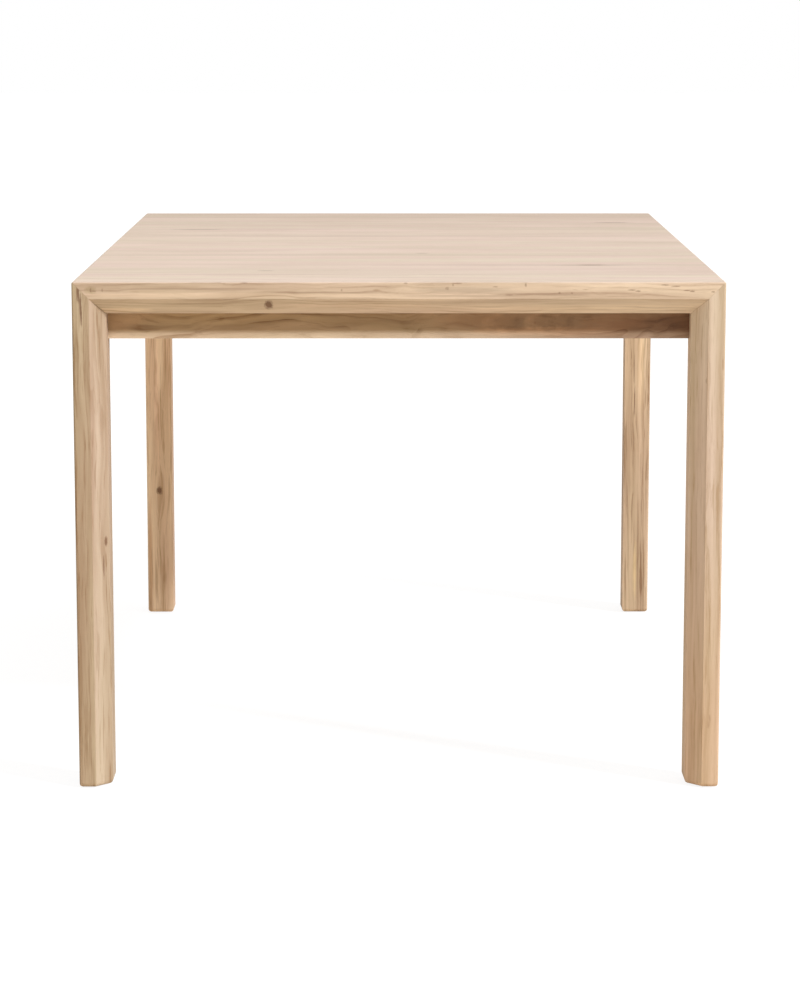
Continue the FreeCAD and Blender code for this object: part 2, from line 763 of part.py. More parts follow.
def pinion_axle(fit=0):
    """A headed pin up through the plate and the pinion, or its hole."""
    start = BAR_TOP - AXLE_SUNK
    end = GEAR_TOP + AXLE_HEAD_GAP
    pin = journal(Vector(PINION_X, 0, start), end - start, fit)
    return pin.fuse(flat_rod(Vector(PINION_X, 0, end), UP, AXLE_HEAD_RADIUS, AXLE_HEAD_HEIGHT, DISC_SIDES))


def equaliser_plate():
    high = GEAR_BOTTOM - PLATE_CLEARANCE
    plate = box(around(PINION_X, PLATE_LENGTH), around(0, BAR_WIDTH), (BAR_TOP, high))
    return plate.cut(pinion_axle(SCREW_FIT))


# Carriage


def runner():
    """The right runner: a head in the channel and a flange that carries the cross bars."""
    y = both_sides(RUNNER_END)
    head = box(around(HEAD_MIDDLE, RUNNER_HEAD_WIDTH), y, around(RUNNER_MIDDLE, RUNNER_HEAD_HEIGHT))
    flange = box((FLANGE_EDGE, HEAD_MIDDLE), y, around(RUNNER_MIDDLE, RUNNER_FLANGE_THICKNESS))
    screws = []
    for middle in bar_middles():
        screws += bar_screws(middle)
    return drilled(head.fuse(flange), screw, screws)


def runner_pads():
    """Slippery pads above and below the right runner's head, near its ends and near the seam."""
    inside = CHANNEL_HEIGHT / 2 - CHANNEL_WALL - PAD_CLEARANCE
    head = RUNNER_HEAD_HEIGHT / 2
    end = RUNNER_END - PAD_FROM_END
    spans = [(end - PAD_LENGTH, end), (PAD_FROM_SEAM, PAD_FROM_SEAM + PAD_LENGTH)]
    pads = []
    for start, stop in spans:
        for y in ((start, stop), (-stop, -start)):
            x = around(HEAD_MIDDLE, RUNNER_HEAD_WIDTH)
            pads.append(box(x, y, (RUNNER_MIDDLE + head, RUNNER_MIDDLE + inside)))
            pads.append(box(x, y, (RUNNER_MIDDLE - inside, RUNNER_MIDDLE - head)))
    return pads


def bar_middles():
    return [-END_BAR, 0, END_BAR]


def cross_bar(middle):
    bar = box(both_sides(BAR_END), around(middle, BAR_WIDTH), (BAR_BOTTOM, BAR_TOP))
    screws = bar_screws(middle)
    return drilled(bar, screw, screws + [mirrored_screw(item) for item in screws])


def leaf_edge_places(x):
    return [Vector(x, y, LEAF_MIDDLE) for y in (-PIN_FROM_MIDDLE, 0, PIN_FROM_MIDDLE)]


def leaf():
    half = LEAF_HALF_WIDTH
    board = box(both_sides(half), both_sides(LEAF_HALF_LENGTH), (LEAF_BOTTOM, LEAF_TOP))
    chosen = []
    for edge in board.Edges:
        middle = edge.CenterOfMass
        if near(abs(middle.y), LEAF_HALF_LENGTH) and near(middle.x, 0):
            chosen.append(edge)
    board = board.makeFillet(EDGE_ROUND, chosen)
    board = board.cut(pin_holes(leaf_edge_places(-half), -ALONG_X))
    return board.cut(bush_holes(leaf_edge_places(half), -ALONG_X))


def leaf_pads():
    """Felt between the stored leaf and each cross bar."""
    half = LEAF_HALF_WIDTH * LEAF_PAD_PLACE_SHARE
    z = (BAR_TOP, LEAF_BOTTOM)
    spans = [(BAR_INNER, LEAF_HALF_LENGTH), (-LEAF_HALF_LENGTH, -BAR_INNER), both_sides(BAR_WIDTH / 2)]
    pads = []
    for y in spans:
        pads += pair(box(around(half, LEAF_PAD_WIDTH), y, z))
    return pads


def leaf_keepers():
    """Angled keepers on the end cross bars, one outside each corner of the leaf."""
    x = LEAF_HALF_WIDTH + KEEPER_CLEARANCE
    y = LEAF_HALF_LENGTH + KEEPER_CLEARANCE
    side = (x + KEEPER_THICKNESS, BAR_INNER)
    corner = (x + KEEPER_THICKNESS, y + KEEPER_THICKNESS)
    tip = x - KEEPER_ARM
    points = [(x, BAR_INNER), side, corner, (tip, y + KEEPER_THICKNESS), (tip, y), (x, y)]
    keeper = plan_prism(points, BAR_TOP, BAR_TOP + KEEPER_HEIGHT)
    ends = [keeper, to_back(keeper)]
    return ends + [to_left(shape) for shape in ends]


# Locks


def lock_arm():
    """The right lever's hooked arm, which points to the middle of the table."""
    outer = LOCK_REACH + LOCK_RIM
    disc = rod(Vector(0, 0, LOCK_BOTTOM), UP, outer, LOCK_THICKNESS)
    reach = outer + OVERRUN
    wide = reach * math.tan(math.radians(LOCK_HALF_ANGLE))
    wedge = plan_prism([(0, 0), (-reach, wide), (-reach, -wide)], LOCK_BOTTOM, LOCK_TOP)
    arm = disc.common(wedge)
    half_slot = STRIKE_RADIUS + STRIKE_SLOT_GAP
    ring = rod(Vector(0, 0, LOCK_BOTTOM), UP, LOCK_REACH + half_slot, LOCK_THICKNESS)
    ring = ring.cut(rod(Vector(0, 0, LOCK_BOTTOM), UP, LOCK_REACH - half_slot, LOCK_THICKNESS))
    open_side = box((-reach, 0), (0, reach), (LOCK_BOTTOM, LOCK_TOP))
    seat = rod(Vector(-LOCK_REACH, 0, LOCK_BOTTOM), UP, half_slot, LOCK_THICKNESS)
    return arm.cut([ring.common(open_side), seat])


def lock_lever():
    tail = box((0, LOCK_TAIL_REACH), around(0, LOCK_TAIL_WIDTH), (LOCK_BOTTOM, LOCK_TOP))
    end_place = Vector(LOCK_TAIL_REACH, 0, LOCK_BOTTOM)
    tail_end = flat_rod(end_place, UP, LOCK_TAIL_WIDTH / 2, LOCK_THICKNESS, DISC_SIDES)
    hub_height = TOP_UNDERSIDE - LOCK_HUB_GAP - LOCK_BOTTOM
    hub = flat_rod(Vector(0, 0, LOCK_BOTTOM), UP, LOCK_HUB_RADIUS, hub_height, DISC_SIDES)
    lever = lock_arm().fuse([tail, tail_end, hub]).removeSplitter()
    return placed_at_lock(lever.cut(journal(Vector(0, 0, LOCK_BOTTOM), hub_height, AXLE_RUNNING_FIT)))


def placed_at_lock(shape):
    shape.translate(Vector(LOCK_X, SEAM - LOCK_FROM_SEAM, 0))
    return shape


def lock_knob():
    """A waisted, twelve-sided finger knob under the lever's tail."""
    low = LOCK_BOTTOM - LOCK_KNOB_HEIGHT
    waist = LOCK_BOTTOM - LOCK_KNOB_HEIGHT / 2
    foot_place = Vector(LOCK_TAIL_REACH, 0, low)
    neck_place = Vector(LOCK_TAIL_REACH, 0, waist)
    foot = flat_cone(foot_place, UP, LOCK_KNOB_RADIUS, LOCK_KNOB_WAIST, waist - low, PIN_SIDES)
    neck = flat_rod(neck_place, UP, LOCK_KNOB_WAIST, LOCK_BOTTOM - waist, PIN_SIDES)
    return placed_at_lock(foot.fuse(neck))


def lock_pivot():
    """A shouldered screw from below, which the lever turns on."""
    head_top = LOCK_BOTTOM - LOCK_HUB_GAP
    head_place = Vector(0, 0, head_top - LOCK_HEAD_HEIGHT)
    head = flat_rod(head_place, UP, LOCK_HEAD_RADIUS, LOCK_HEAD_HEIGHT, DISC_SIDES)
    shoulder = journal(Vector(0, 0, head_top), TOP_UNDERSIDE - head_top)
    return placed_at_lock(head.fuse([shoulder, lock_thread()]))


def lock_thread(fit=0):
    return flat_rod(Vector(0, 0, TOP_UNDERSIDE), UP, SCREW_RADIUS + fit, SCREW_IN_WOOD + fit)


def strike_middle():
    return Vector(LOCK_X, SEAM - LOCK_FROM_SEAM + LOCK_REACH, 0)


def lock_strike():
    """A plate under the back half with a peg that the lever's hook closes round."""
    middle = strike_middle()
    plate_z = (TOP_UNDERSIDE - STRIKE_PLATE_THICKNESS, TOP_UNDERSIDE)
    plate = box(around(middle.x, STRIKE_PLATE_WIDTH), around(middle.y, STRIKE_PLATE_LENGTH), plate_z)
    peg = flat_rod(middle + UP * (plate_z[0] - STRIKE_DROP), UP, STRIKE_RADIUS, STRIKE_DROP, PIN_SIDES)
    return plate.fuse([peg, strike_dowel()])


def strike_dowel(fit=0):
    return flat_rod(strike_middle() + UP * TOP_UNDERSIDE, UP, STRIKE_RADIUS + fit, STRIKE_DOWEL + fit)


# Assembly


def front_board():
    """The front half's board with its holes for pins, locks and screws."""
    board = drilled(top_board(), screw, top_screw_lists() + rack_screws(1))
    places = seam_pin_line(SEAM, pin_middle())
    threads = pair(placed_at_lock(lock_thread(SCREW_FIT)))
    return board.cut(pin_holes(places, ALONG_Y) + threads)


def back_board():
    board = to_back(drilled(top_board(), screw, top_screw_lists() + rack_screws(-1)))
    places = seam_pin_line(-SEAM, pin_middle())
    return board.cut(bush_holes(places, ALONG_Y) + pair(strike_dowel(SCREW_FIT)))


def half_pieces():
    """The pieces that both halves share, in the front half's place."""
    loop = frame_loop()
    leg = right_leg(loop)
    bolt_set = [leg_bolt()] + leg_washer_and_nut()
    pieces = {}
    pieces["end_rail"] = end_rail(loop)
    pieces["right_leg"] = leg
    pieces["left_leg"] = to_left(leg)
    pieces["end_apron"] = end_apron()
    pieces["right_apron"] = side_apron()
    pieces["left_apron"] = to_left(side_apron())
    pieces["right_channel"] = channel()
    pieces["left_channel"] = to_left(channel())
    pieces["corner_blocks"] = group(pair(corner_block()))
    pieces["leg_bolts"] = group(bolt_set + [to_left(shape) for shape in bolt_set])
    pieces["mitre_tenons"] = group(pair(mitre_tenon()))
    pieces["foot_glides"] = group(pair(foot_glide()))
    clips = top_clips()
    pieces["top_clips"] = group(clips + [to_left(shape) for shape in clips])
    pieces["travel_stops"] = group(pair(travel_stop()))
    return pieces


def half_screws(side):
    """All screws of one half, in the front half's place."""
    sunk = [sunk_screw(*item) for item in channel_screws()]
    proud = [screw(*item) for item in clip_screws() + stop_screws()]
    right = sunk + proud
    left = [to_left(shape) for shape in right]
    return group(right + left + [screw(*item) for item in rack_screws(side)])


def build_halves():
    for name, shape in half_pieces().items():
        save("front_" + name, shape)
        save("back_" + name, to_back(shape))
    save("front_top_board", front_board())
    save("back_top_board", back_board())
    save("front_rack", rack(1))
    save("back_rack", to_back(rack(-1)))
    save("front_rack_spacer", rack_spacer(1))
    save("back_rack_spacer", to_back(rack_spacer(-1)))
    save("front_screws", half_screws(1))
    save("back_screws", to_back(half_screws(-1)))
    save("seam_pins", group(locating_pins(seam_pin_line(SEAM, pin_middle()), ALONG_Y)))
    save("seam_bushes", group(bushes(seam_pin_line(-SEAM, pin_middle()), ALONG_Y)))
    save("lock_pivots", group(pair(lock_pivot())))
    save("lock_strikes", group(pair(lock_strike())))
    save("right_lock_lever", lock_lever())
    save("left_lock_lever", to_left(lock_lever()))
    save("right_lock_knob", lock_knob())
    save("left_lock_knob", to_left(lock_knob()))


def build_carriage():
    save("right_runner", runner())
    save("left_runner", to_left(runner()))
    pads = runner_pads()
    save("runner_pads", group(pads + [to_left(shape) for shape in pads]))
    save("front_cross_bar", cross_bar(-END_BAR))
    save("middle_cross_bar", cross_bar(0).cut(pinion_axle(SCREW_FIT)))
    save("back_cross_bar", cross_bar(END_BAR))
    screws = []
    for middle in bar_middles():
        for item in bar_screws(middle):
            screws += pair(screw(*item))
    save("carriage_screws", group(screws))
    save("equaliser_plate", equaliser_plate())
    save("pinion_axle", pinion_axle())
    save("equaliser_pinion", pinion())


def build_leaf():
    half = LEAF_HALF_WIDTH
    save("leaf", leaf())
    save("leaf_pins", group(locating_pins(leaf_edge_places(-half), -ALONG_X)))
    save("leaf_bushes", group(bushes(leaf_edge_places(half), -ALONG_X)))
    save("leaf_pads", group(leaf_pads()))
    save("leaf_keepers", group(leaf_keepers()))


os.makedirs("parts", exist_ok=True)
build_halves()
build_carriage()
build_leaf()
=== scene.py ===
# %% [markdown]
# # An extending dining table in pale oak
# The real table is a plain farmhouse shape with one trick: the top parts across its middle and
# each half runs out on its own two legs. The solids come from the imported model, which is the
# frame of this file. Nothing of it is moved or reshaped. Blender gives each board its grain,
# each fitting its finish, and rounds the small hardware that is only plain in the frame.

# %% Load the frame
import json
import math
import bpy
from mathutils import Matrix, Vector


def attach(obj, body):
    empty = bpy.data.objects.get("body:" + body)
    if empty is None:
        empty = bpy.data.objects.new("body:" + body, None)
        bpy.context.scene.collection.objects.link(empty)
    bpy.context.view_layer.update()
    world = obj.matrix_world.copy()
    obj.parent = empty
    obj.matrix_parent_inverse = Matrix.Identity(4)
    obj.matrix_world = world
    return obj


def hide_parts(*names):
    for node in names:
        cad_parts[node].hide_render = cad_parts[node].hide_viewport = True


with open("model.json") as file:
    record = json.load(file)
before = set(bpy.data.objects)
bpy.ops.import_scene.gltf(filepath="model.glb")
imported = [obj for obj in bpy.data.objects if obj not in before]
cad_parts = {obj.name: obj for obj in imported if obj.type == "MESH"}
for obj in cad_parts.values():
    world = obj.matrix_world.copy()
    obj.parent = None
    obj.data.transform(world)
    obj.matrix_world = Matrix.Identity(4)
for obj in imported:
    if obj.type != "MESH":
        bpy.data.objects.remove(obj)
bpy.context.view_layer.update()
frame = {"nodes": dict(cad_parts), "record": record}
nodes = frame["nodes"]
slot_of = {part["node"]: part["material_slot"] for part in frame["record"]["subparts"]}
print("pieces in the frame:", len(nodes))

# %% [markdown]
# ## Camera
# The photograph looks at the end of the table from a little above the top. The lens, the
# distance and the tilt were worked out from the edges of the top and of the four legs, so the
# far legs also come out where they stand in the picture.

# %% Place the camera
CAMERA_PLACE = (-0.0063, -5.2457, 1.1775)
CAMERA_TILT = 9.279
CAMERA_TURN = 0.1
LENS = 113.14

camera_data = bpy.data.cameras.new("photo_camera")
camera_data.lens = LENS
camera = bpy.data.objects.new("photo_camera", camera_data)
camera.location = CAMERA_PLACE
camera.rotation_euler = (math.radians(90 - CAMERA_TILT), 0, math.radians(-CAMERA_TURN))
bpy.context.collection.objects.link(camera)
bpy.context.scene.camera = camera
print("lens", camera_data.lens, "mm at", tuple(camera.location))

# %% [markdown]
# ## Light
# A soft studio: one broad lamp to the right of the camera, and a pale room that is brightest
# overhead. The shadow of the end rail covers four fifths of the apron behind it, and the right
# leg throws a wide one on its end. The chamfer of the left leg is the palest face of the legs
# and the right leg's gets no lamp at all. So the lamp stands further to the right than to the
# front. A sun with a wide angle gives the shadows their soft edges.

# %% Hang the lamp and light the room
LAMP_DIRECTION = Vector((1.5, -1.0, 1.12))
LAMP_COLOUR = (0.97, 1.0, 1.05)
LAMP_STRENGTH = 3.0
LAMP_SOFTNESS = 6.0
ROOM_LOW, ROOM_HIGH = 0.15, 0.95

lamp_data = bpy.data.lights.new("studio_lamp", "SUN")
lamp_data.energy = LAMP_STRENGTH
lamp_data.color = LAMP_COLOUR
lamp_data.angle = math.radians(LAMP_SOFTNESS)
lamp = bpy.data.objects.new("studio_lamp", lamp_data)
lamp.rotation_euler = LAMP_DIRECTION.to_track_quat("Z", "Y").to_euler()
bpy.context.collection.objects.link(lamp)
bpy.context.scene.view_settings.view_transform = "Standard"
print("lamp height in degrees:", round(math.degrees(math.asin(LAMP_DIRECTION.normalized().z)), 1))

# %% [markdown]
# ## A short way to write node trees
# Every material below is a tree of nodes. Writing each link by hand hides what the tree does,
# so one helper adds a node with its inputs, and a few small ones give arithmetic and mixing.


# %% Helpers for nodes
def add(tree, kind, inputs=None, **settings):
    """Adds a node. An input is a value or another node's output."""
    made = tree.nodes.new(kind)
    for name, value in settings.items():
        setattr(made, name, value)
    for name, value in (inputs or {}).items():
        if isinstance(value, bpy.types.NodeSocket):
            tree.links.new(value, made.inputs[name])
        else:
            made.inputs[name].default_value = value
    return made


def maths(tree, operation, first, second=0.0, third=0.0):
    made = add(tree, "ShaderNodeMath", {0: first, 1: second, 2: third}, operation=operation)
    return made.outputs[0]


def vectors(tree, operation, first, second=(0, 0, 0)):
    made = add(tree, "ShaderNodeVectorMath", {0: first, 1: second}, operation=operation)
    return made.outputs["Value" if operation == "LENGTH" else "Vector"]


def scaled(tree, vector, amount):
    made = add(tree, "ShaderNodeVectorMath", {0: vector, "Scale": amount}, operation="SCALE")
    return made.outputs[0]


def parts_of(tree, vector):
    return add(tree, "ShaderNodeSeparateXYZ", {0: vector}).outputs


def noise(tree, vector, scale, detail=2.0, roughness=0.5, colour=False):
    inputs = {"Vector": vector, "Scale": scale, "Detail": detail, "Roughness": roughness}
    return add(tree, "ShaderNodeTexNoise", inputs).outputs["Color" if colour else 0]


def spread(tree, value, low, high, start=0.0, end=1.0):
    """Stretches a value from one span to another, held at its ends."""
    made = add(tree, "ShaderNodeMapRange", {0: value, 1: low, 2: high, 3: start, 4: end})
    return made.outputs[0]


def mixed(tree, factor, first, second, blend="MIX"):
    made = add(tree, "ShaderNodeMix", {0: factor, 6: first, 7: second}, data_type="RGBA")
    made.blend_type = blend
    return made.outputs[2]


def tint(red, green, blue):
    """A screen colour from 0 to 255 as the linear colour that nodes use."""
    parts = [value / 255 for value in (red, green, blue)]
    return tuple(v / 12.92 if v <= 0.04045 else ((v + 0.055) / 1.055) ** 2.4 for v in parts) + (1.0,)


print("pale oak in linear values:", [round(v, 3) for v in tint(201, 173, 143)])


# %% Helpers for materials and groups
def new_material(name):
    material = bpy.data.materials.new(name)
    material.use_nodes = True
    return material, material.node_tree


def set_surface(tree, colour, gloss, height, depth, strength):
    """Gives the shader its colour, its roughness and a relief of a depth in metres."""
    inputs = {"Height": height, "Distance": depth, "Strength": strength}
    relief = add(tree, "ShaderNodeBump", inputs).outputs[0]
    shader = tree.nodes["Principled BSDF"]
    for socket, value in (("Base Color", colour), ("Roughness", gloss), ("Normal", relief)):
        tree.links.new(value, shader.inputs[socket])
    return shader


def new_group(name, inputs, outputs):
    """A shader node group with named sockets, and its input and output nodes."""
    tree = bpy.data.node_groups.new(name, "ShaderNodeTree")
    for socket, kind, value in inputs:
        made = tree.interface.new_socket(name=socket, in_out="INPUT", socket_type="NodeSocket" + kind)
        if value is not None:
            made.default_value = value
    for socket, kind in outputs:
        tree.interface.new_socket(name=socket, in_out="OUTPUT", socket_type="NodeSocket" + kind)
    return tree, tree.nodes.new("NodeGroupInput").outputs, tree.nodes.new("NodeGroupOutput").inputs


def place_group(tree, group, inputs):
    return add(tree, "ShaderNodeGroup", inputs, node_tree=group).outputs


def looked_at(tree):
    """One where the camera, a reflection or a clear piece sees a surface, nought for its light."""
    path = add(tree, "ShaderNodeLightPath").outputs
    mirrored = maths(tree, "MAXIMUM", path["Is Glossy Ray"], path["Is Transmission Ray"])
    return maths(tree, "MAXIMUM", path["Is Camera Ray"], mirrored)


print("plain materials that came with the frame:", len(bpy.data.materials))

# %% [markdown]
# ## Floor and room
# The photograph stands on nothing but white, with a warm light from below on the chamfers. The
# floor is a plain matt sheet of a warm white. Only what the camera and reflections see of it is
# lifted to white, so it throws an honest amount of light back up under the rails and keeps the
# table's shadow.

# %% Lay the floor
FLOOR_SIZE = 60.0
FLOOR_BELOW = 0.0004
FLOOR_COLOUR = tint(247, 234, 216)
SHADOW_SHARE, SHADOW_LIFT = 0.2, 0.6
SHADOW_GREY = (SHADOW_SHARE, SHADOW_SHARE, SHADOW_SHARE, 1)
WHITE = (1, 1, 1, 1)

bpy.ops.object.select_all(action="DESELECT")
bpy.ops.mesh.primitive_plane_add(size=FLOOR_SIZE, location=(0, 0, -FLOOR_BELOW))
floor = bpy.context.object
floor.name = "floor"

floor_paper, tree = new_material("floor_paper")
tree.nodes.clear()
seen = looked_at(tree)
matt = add(tree, "ShaderNodeBsdfDiffuse", {"Color": FLOOR_COLOUR}).outputs[0]
soft = add(tree, "ShaderNodeBsdfDiffuse", {"Color": SHADOW_GREY}).outputs[0]
glow_level = 1.0 - SHADOW_SHARE * SHADOW_LIFT
glow = add(tree, "ShaderNodeEmission", {"Color": WHITE, "Strength": glow_level}).outputs[0]
shown = add(tree, "ShaderNodeAddShader", {0: soft, 1: glow}).outputs[0]
both = add(tree, "ShaderNodeMixShader", {0: seen, 1: matt, 2: shown}).outputs[0]
add(tree, "ShaderNodeOutputMaterial", {"Surface": both})
floor.data.materials.append(floor_paper)

world = bpy.data.worlds.new("studio_room")
bpy.context.scene.world = world
world.use_nodes = True
tree = world.node_tree
tree.nodes.clear()
seen = looked_at(tree)
height = parts_of(tree, add(tree, "ShaderNodeTexCoord").outputs["Generated"])["Z"]
level = maths(tree, "MAXIMUM", seen, spread(tree, height, 0.0, 1.0, ROOM_LOW, ROOM_HIGH))
room = add(tree, "ShaderNodeBackground", {"Color": WHITE, "Strength": level}).outputs[0]
add(tree, "ShaderNodeOutputWorld", {"Surface": room})
print("floor", FLOOR_SIZE, "m wide, room from", ROOM_LOW, "to", ROOM_HIGH)

# %% [markdown]
# ## Oak grain
# A board is a slice through a trunk, so its lines are cuts through rings round a pith. The
# group measures the distance to a pith line, bent by slow noise, and splits it into rings.
# Slow noise drawn out along the board gives broad streaks and makes some rings darker than
# others. Finer noise gives threads of dark wood, and the finest the pores that oak shows as
# short dashes. A picture of wood would be quicker, but would repeat and would not turn the
# corner of a board as this does. A pattern below gives the waves per metre along and across.

# %% Build the grain group
RING_PROFILE = ((0.0, 0.25), (0.55, 0.1), (0.86, 0.9), (0.96, 1.0), (1.0, 0.25))
FINE_SWAY, FINE_SWAY_REACH = (16, 40, 40), 0.003
PITH_SLANT = (0.02, 1.0, 1.0)
RING_SHIFT_PATTERN, RING_SHIFT = (2.0, 40.0, 40.0), 1.6
STREAK_LEVELS = (0.34, 0.66)
RING_STRENGTH_PATTERN, RING_STRENGTH_LEVELS = (3.5, 60.0, 60.0), (0.4, 0.62, 0.1, 1.2)
THREAD_PATTERN, THREAD_LEVELS = (7.0, 260.0, 260.0), (0.54, 0.66)
PATCH_PATTERN, PATCH_LEVELS = (1.3, 20.0, 20.0), (0.36, 0.64)
PORE_PATTERN, PORE_LEVELS = (45.0, 1100.0, 1100.0), (0.54, 0.68)
PORES_IN_RINGS, PORES_BETWEEN = 0.7, 0.3
FLECK_PATTERN, FLECK_LEVELS = (26.0, 150.0, 150.0), (0.72, 0.8)

grain, taken, given = new_group(
    "oak_grain",
    [
        ("Vector", "Vector", None), ("Pith", "Vector", (0, 0, 0)),
        ("Ring Size", "Float", 0.004), ("Bend", "Float", 0.02),
        ("Wave", "Vector", (1.4, 6, 6)), ("Drawn Out", "Vector", (1.2, 34, 34)),
    ],
    [(name, "Float") for name in ("Streaks", "Rings", "Threads", "Pores", "Flecks", "Patches")],
)


def swayed(vector, pattern, strength):
    """Moves each point of the wood a little, by noise in the given pattern."""
    sway = noise(grain, vectors(grain, "MULTIPLY", vector, pattern), 1.0, 3.0, 0.45, colour=True)
    centred = vectors(grain, "SUBTRACT", sway, (0.5, 0.5, 0.5))
    return vectors(grain, "ADD", vector, scaled(grain, centred, strength))


def drawn_out(vector, pattern, detail=2.0, roughness=0.5):
    """Noise in the wood, drawn out along the board by a pattern."""
    return noise(grain, vectors(grain, "MULTIPLY", vector, pattern), 1.0, detail, roughness)


bent = swayed(taken["Vector"], taken["Wave"], taken["Bend"])
bent = swayed(bent, FINE_SWAY, FINE_SWAY_REACH)
from_pith = vectors(grain, "SUBTRACT", bent, taken["Pith"])
across = vectors(grain, "MULTIPLY", from_pith, PITH_SLANT)
distance = maths(grain, "DIVIDE", vectors(grain, "LENGTH", across), taken["Ring Size"])
shift = maths(grain, "MULTIPLY", drawn_out(taken["Vector"], RING_SHIFT_PATTERN), RING_SHIFT)
turn = maths(grain, "FRACT", maths(grain, "ADD", distance, shift))
profile = add(grain, "ShaderNodeValToRGB", {0: turn})
ramp = profile.color_ramp
ramp.elements[0].position, ramp.elements[1].position = RING_PROFILE[0][0], RING_PROFILE[-1][0]
for position, level in RING_PROFILE[1:-1]:
    ramp.elements.new(position)
for element, (position, level) in zip(ramp.elements, RING_PROFILE):
    element.color = (level, level, level, 1)
strength = spread(grain, drawn_out(bent, RING_STRENGTH_PATTERN), *RING_STRENGTH_LEVELS)
rings = maths(grain, "MULTIPLY", profile.outputs[0], strength)
streaks = spread(grain, drawn_out(bent, taken["Drawn Out"], 3.0, 0.55), *STREAK_LEVELS)
threads = spread(grain, drawn_out(bent, THREAD_PATTERN, 3.0, 0.6), *THREAD_LEVELS)
patches = spread(grain, drawn_out(bent, PATCH_PATTERN), *PATCH_LEVELS)
pores = spread(grain, drawn_out(bent, PORE_PATTERN, 2.0, 0.6), *PORE_LEVELS)
in_rings = maths(grain, "MULTIPLY_ADD", rings, PORES_IN_RINGS, PORES_BETWEEN)
pores = maths(grain, "MULTIPLY", pores, in_rings)
flecks = spread(grain, drawn_out(bent, FLECK_PATTERN), *FLECK_LEVELS)
for value, socket in zip((streaks, rings, threads, pores, flecks, patches), given):
    grain.links.new(value, socket)
print("grain group has", len(grain.nodes), "nodes")

# %% [markdown]
# ## Marks
# Oak of this grade keeps its knots and short checks, and those in the photograph are what make
# this table one table. A mark is an egg-shaped spot at a place on a board: wide, thin or
# drawn out by its three radii, with an edge that noise frays.

# %% Build the mark group
EDGE_NOISE, EDGE_LEVELS = 1.7, (0.55, 1.15)

mark, taken, given = new_group(
    "board_mark",
    [
        ("Vector", "Vector", None), ("Centre", "Vector", (0, 0, 0)),
        ("Radii", "Vector", (1, 1, 1)), ("Frayed", "Float", 0.6),
    ],
    [("Mask", "Float")],
)
away = vectors(mark, "SUBTRACT", taken["Vector"], taken["Centre"])
local = vectors(mark, "DIVIDE", away, taken["Radii"])
ragged = maths(mark, "SUBTRACT", noise(mark, local, EDGE_NOISE, 3.0, 0.6), 0.5)
frayed = maths(mark, "MULTIPLY", taken["Frayed"], 2.0)
edge = maths(mark, "MULTIPLY_ADD", ragged, frayed, vectors(mark, "LENGTH", local))
mark.links.new(spread(mark, edge, *EDGE_LEVELS, 1.0, 0.0), given["Mask"])
print("mark group has", len(mark.nodes), "nodes")

# %% [markdown]
# ## Staves
# The top is glued up from staves that run across the table. Each comes from another board, so
# its tone and its rings change at a glue line. The tones also grow darker towards the far end:
# that is painted shade, where the light falls off across the top. The group reads the place along
# the table and gives each stave a tone and a colour by chance that shifts its grain, and the thin
# line at each joint.

# %% Build the stave group
STAVE_JOINTS = (-0.58, -0.413, -0.245, -0.118, 0.0, 0.147, 0.29, 0.435, 0.58)
# Each stave has its own tone, and the tones rise towards the far end: painted shade of the light
# falling off across the top.
STAVE_TONES_AND_SHADE = (0.4, 0.62, 0.56, 0.62, 0.6, 0.62, 0.72, 0.82, 0.9, 1.04)
JOINT_HALF_WIDTH = 0.0006

staves, taken, given = new_group(
    "top_staves",
    [("Vector", "Vector", None)],
    [("Tone", "Float"), ("Chance", "Color"), ("Joint", "Float")],
)
along_table = parts_of(staves, taken["Vector"])["Y"]
tone, count, joint = STAVE_TONES_AND_SHADE[0], 0.0, 0.0
for place, before, after in zip(STAVE_JOINTS, STAVE_TONES_AND_SHADE, STAVE_TONES_AND_SHADE[1:]):
    past = maths(staves, "GREATER_THAN", along_table, place)
    tone = maths(staves, "MULTIPLY_ADD", past, after - before, tone)
    count = maths(staves, "ADD", past, count)
    gap = maths(staves, "ABSOLUTE", maths(staves, "SUBTRACT", along_table, place))
    line = spread(staves, gap, JOINT_HALF_WIDTH, 2 * JOINT_HALF_WIDTH, 1.0, 0.0)
    joint = maths(staves, "MAXIMUM", joint, line)
chance = add(staves, "ShaderNodeTexWhiteNoise", {"W": count}, noise_dimensions="1D").outputs["Color"]
staves.links.new(tone, given["Tone"])
staves.links.new(chance, given["Chance"])
staves.links.new(joint, given["Joint"])
print("staves in the top:", len(STAVE_TONES_AND_SHADE))

# %% [markdown]
# ## Oak boards
# One function makes the oak of every board: which way its grain runs, where its pith lies, how
# light and dark its wood is, and which marks it carries. The grain bows round each knot, as it
# grew round a branch. The finish is a thin matt lacquer, and the mitres show as fine dark lines.

# %% Small parts of a board
TURNS = {"X": ("X", "Y", "Z"), "Y": ("Y", "X", "Z"), "Z": ("Z", "X", "Y")}
KNOT_STRETCH = {"X": (0.3, 1.0, 1.0), "Y": (1.0, 0.3, 1.0), "Z": (1.0, 1.0, 0.3)}
KNOT_PUSH = 0.85
STAVE_SHIFT = (0.06, 0.05, 0.05)
MITRE_OFFSET, MITRE_LINE = 0.28, 0.0007


def bowed_round(tree, place, centre, reach, way):
    """Draws the grain's place in towards a knot, so that the lines bow out round it."""
    away = vectors(tree, "SUBTRACT", place, centre)
    distance = vectors(tree, "LENGTH", vectors(tree, "MULTIPLY", away, KNOT_STRETCH[way]))
    share = spread(tree, distance, 0.0, reach, KNOT_PUSH, 0.0)
    return vectors(tree, "SUBTRACT", place, scaled(tree, away, share))


def rise(tree, place, axis, start, end):
    """Goes from nought at one place along an axis to one at another."""
    return spread(tree, parts_of(tree, place)[axis], start, end)


def in_mark(tree, place, centre, radii, frayed):
    """One inside a mark and nought outside it."""
    asked = {"Vector": place, "Centre": centre, "Radii": radii, "Frayed": frayed}
    return place_group(tree, mark, asked)["Mask"]


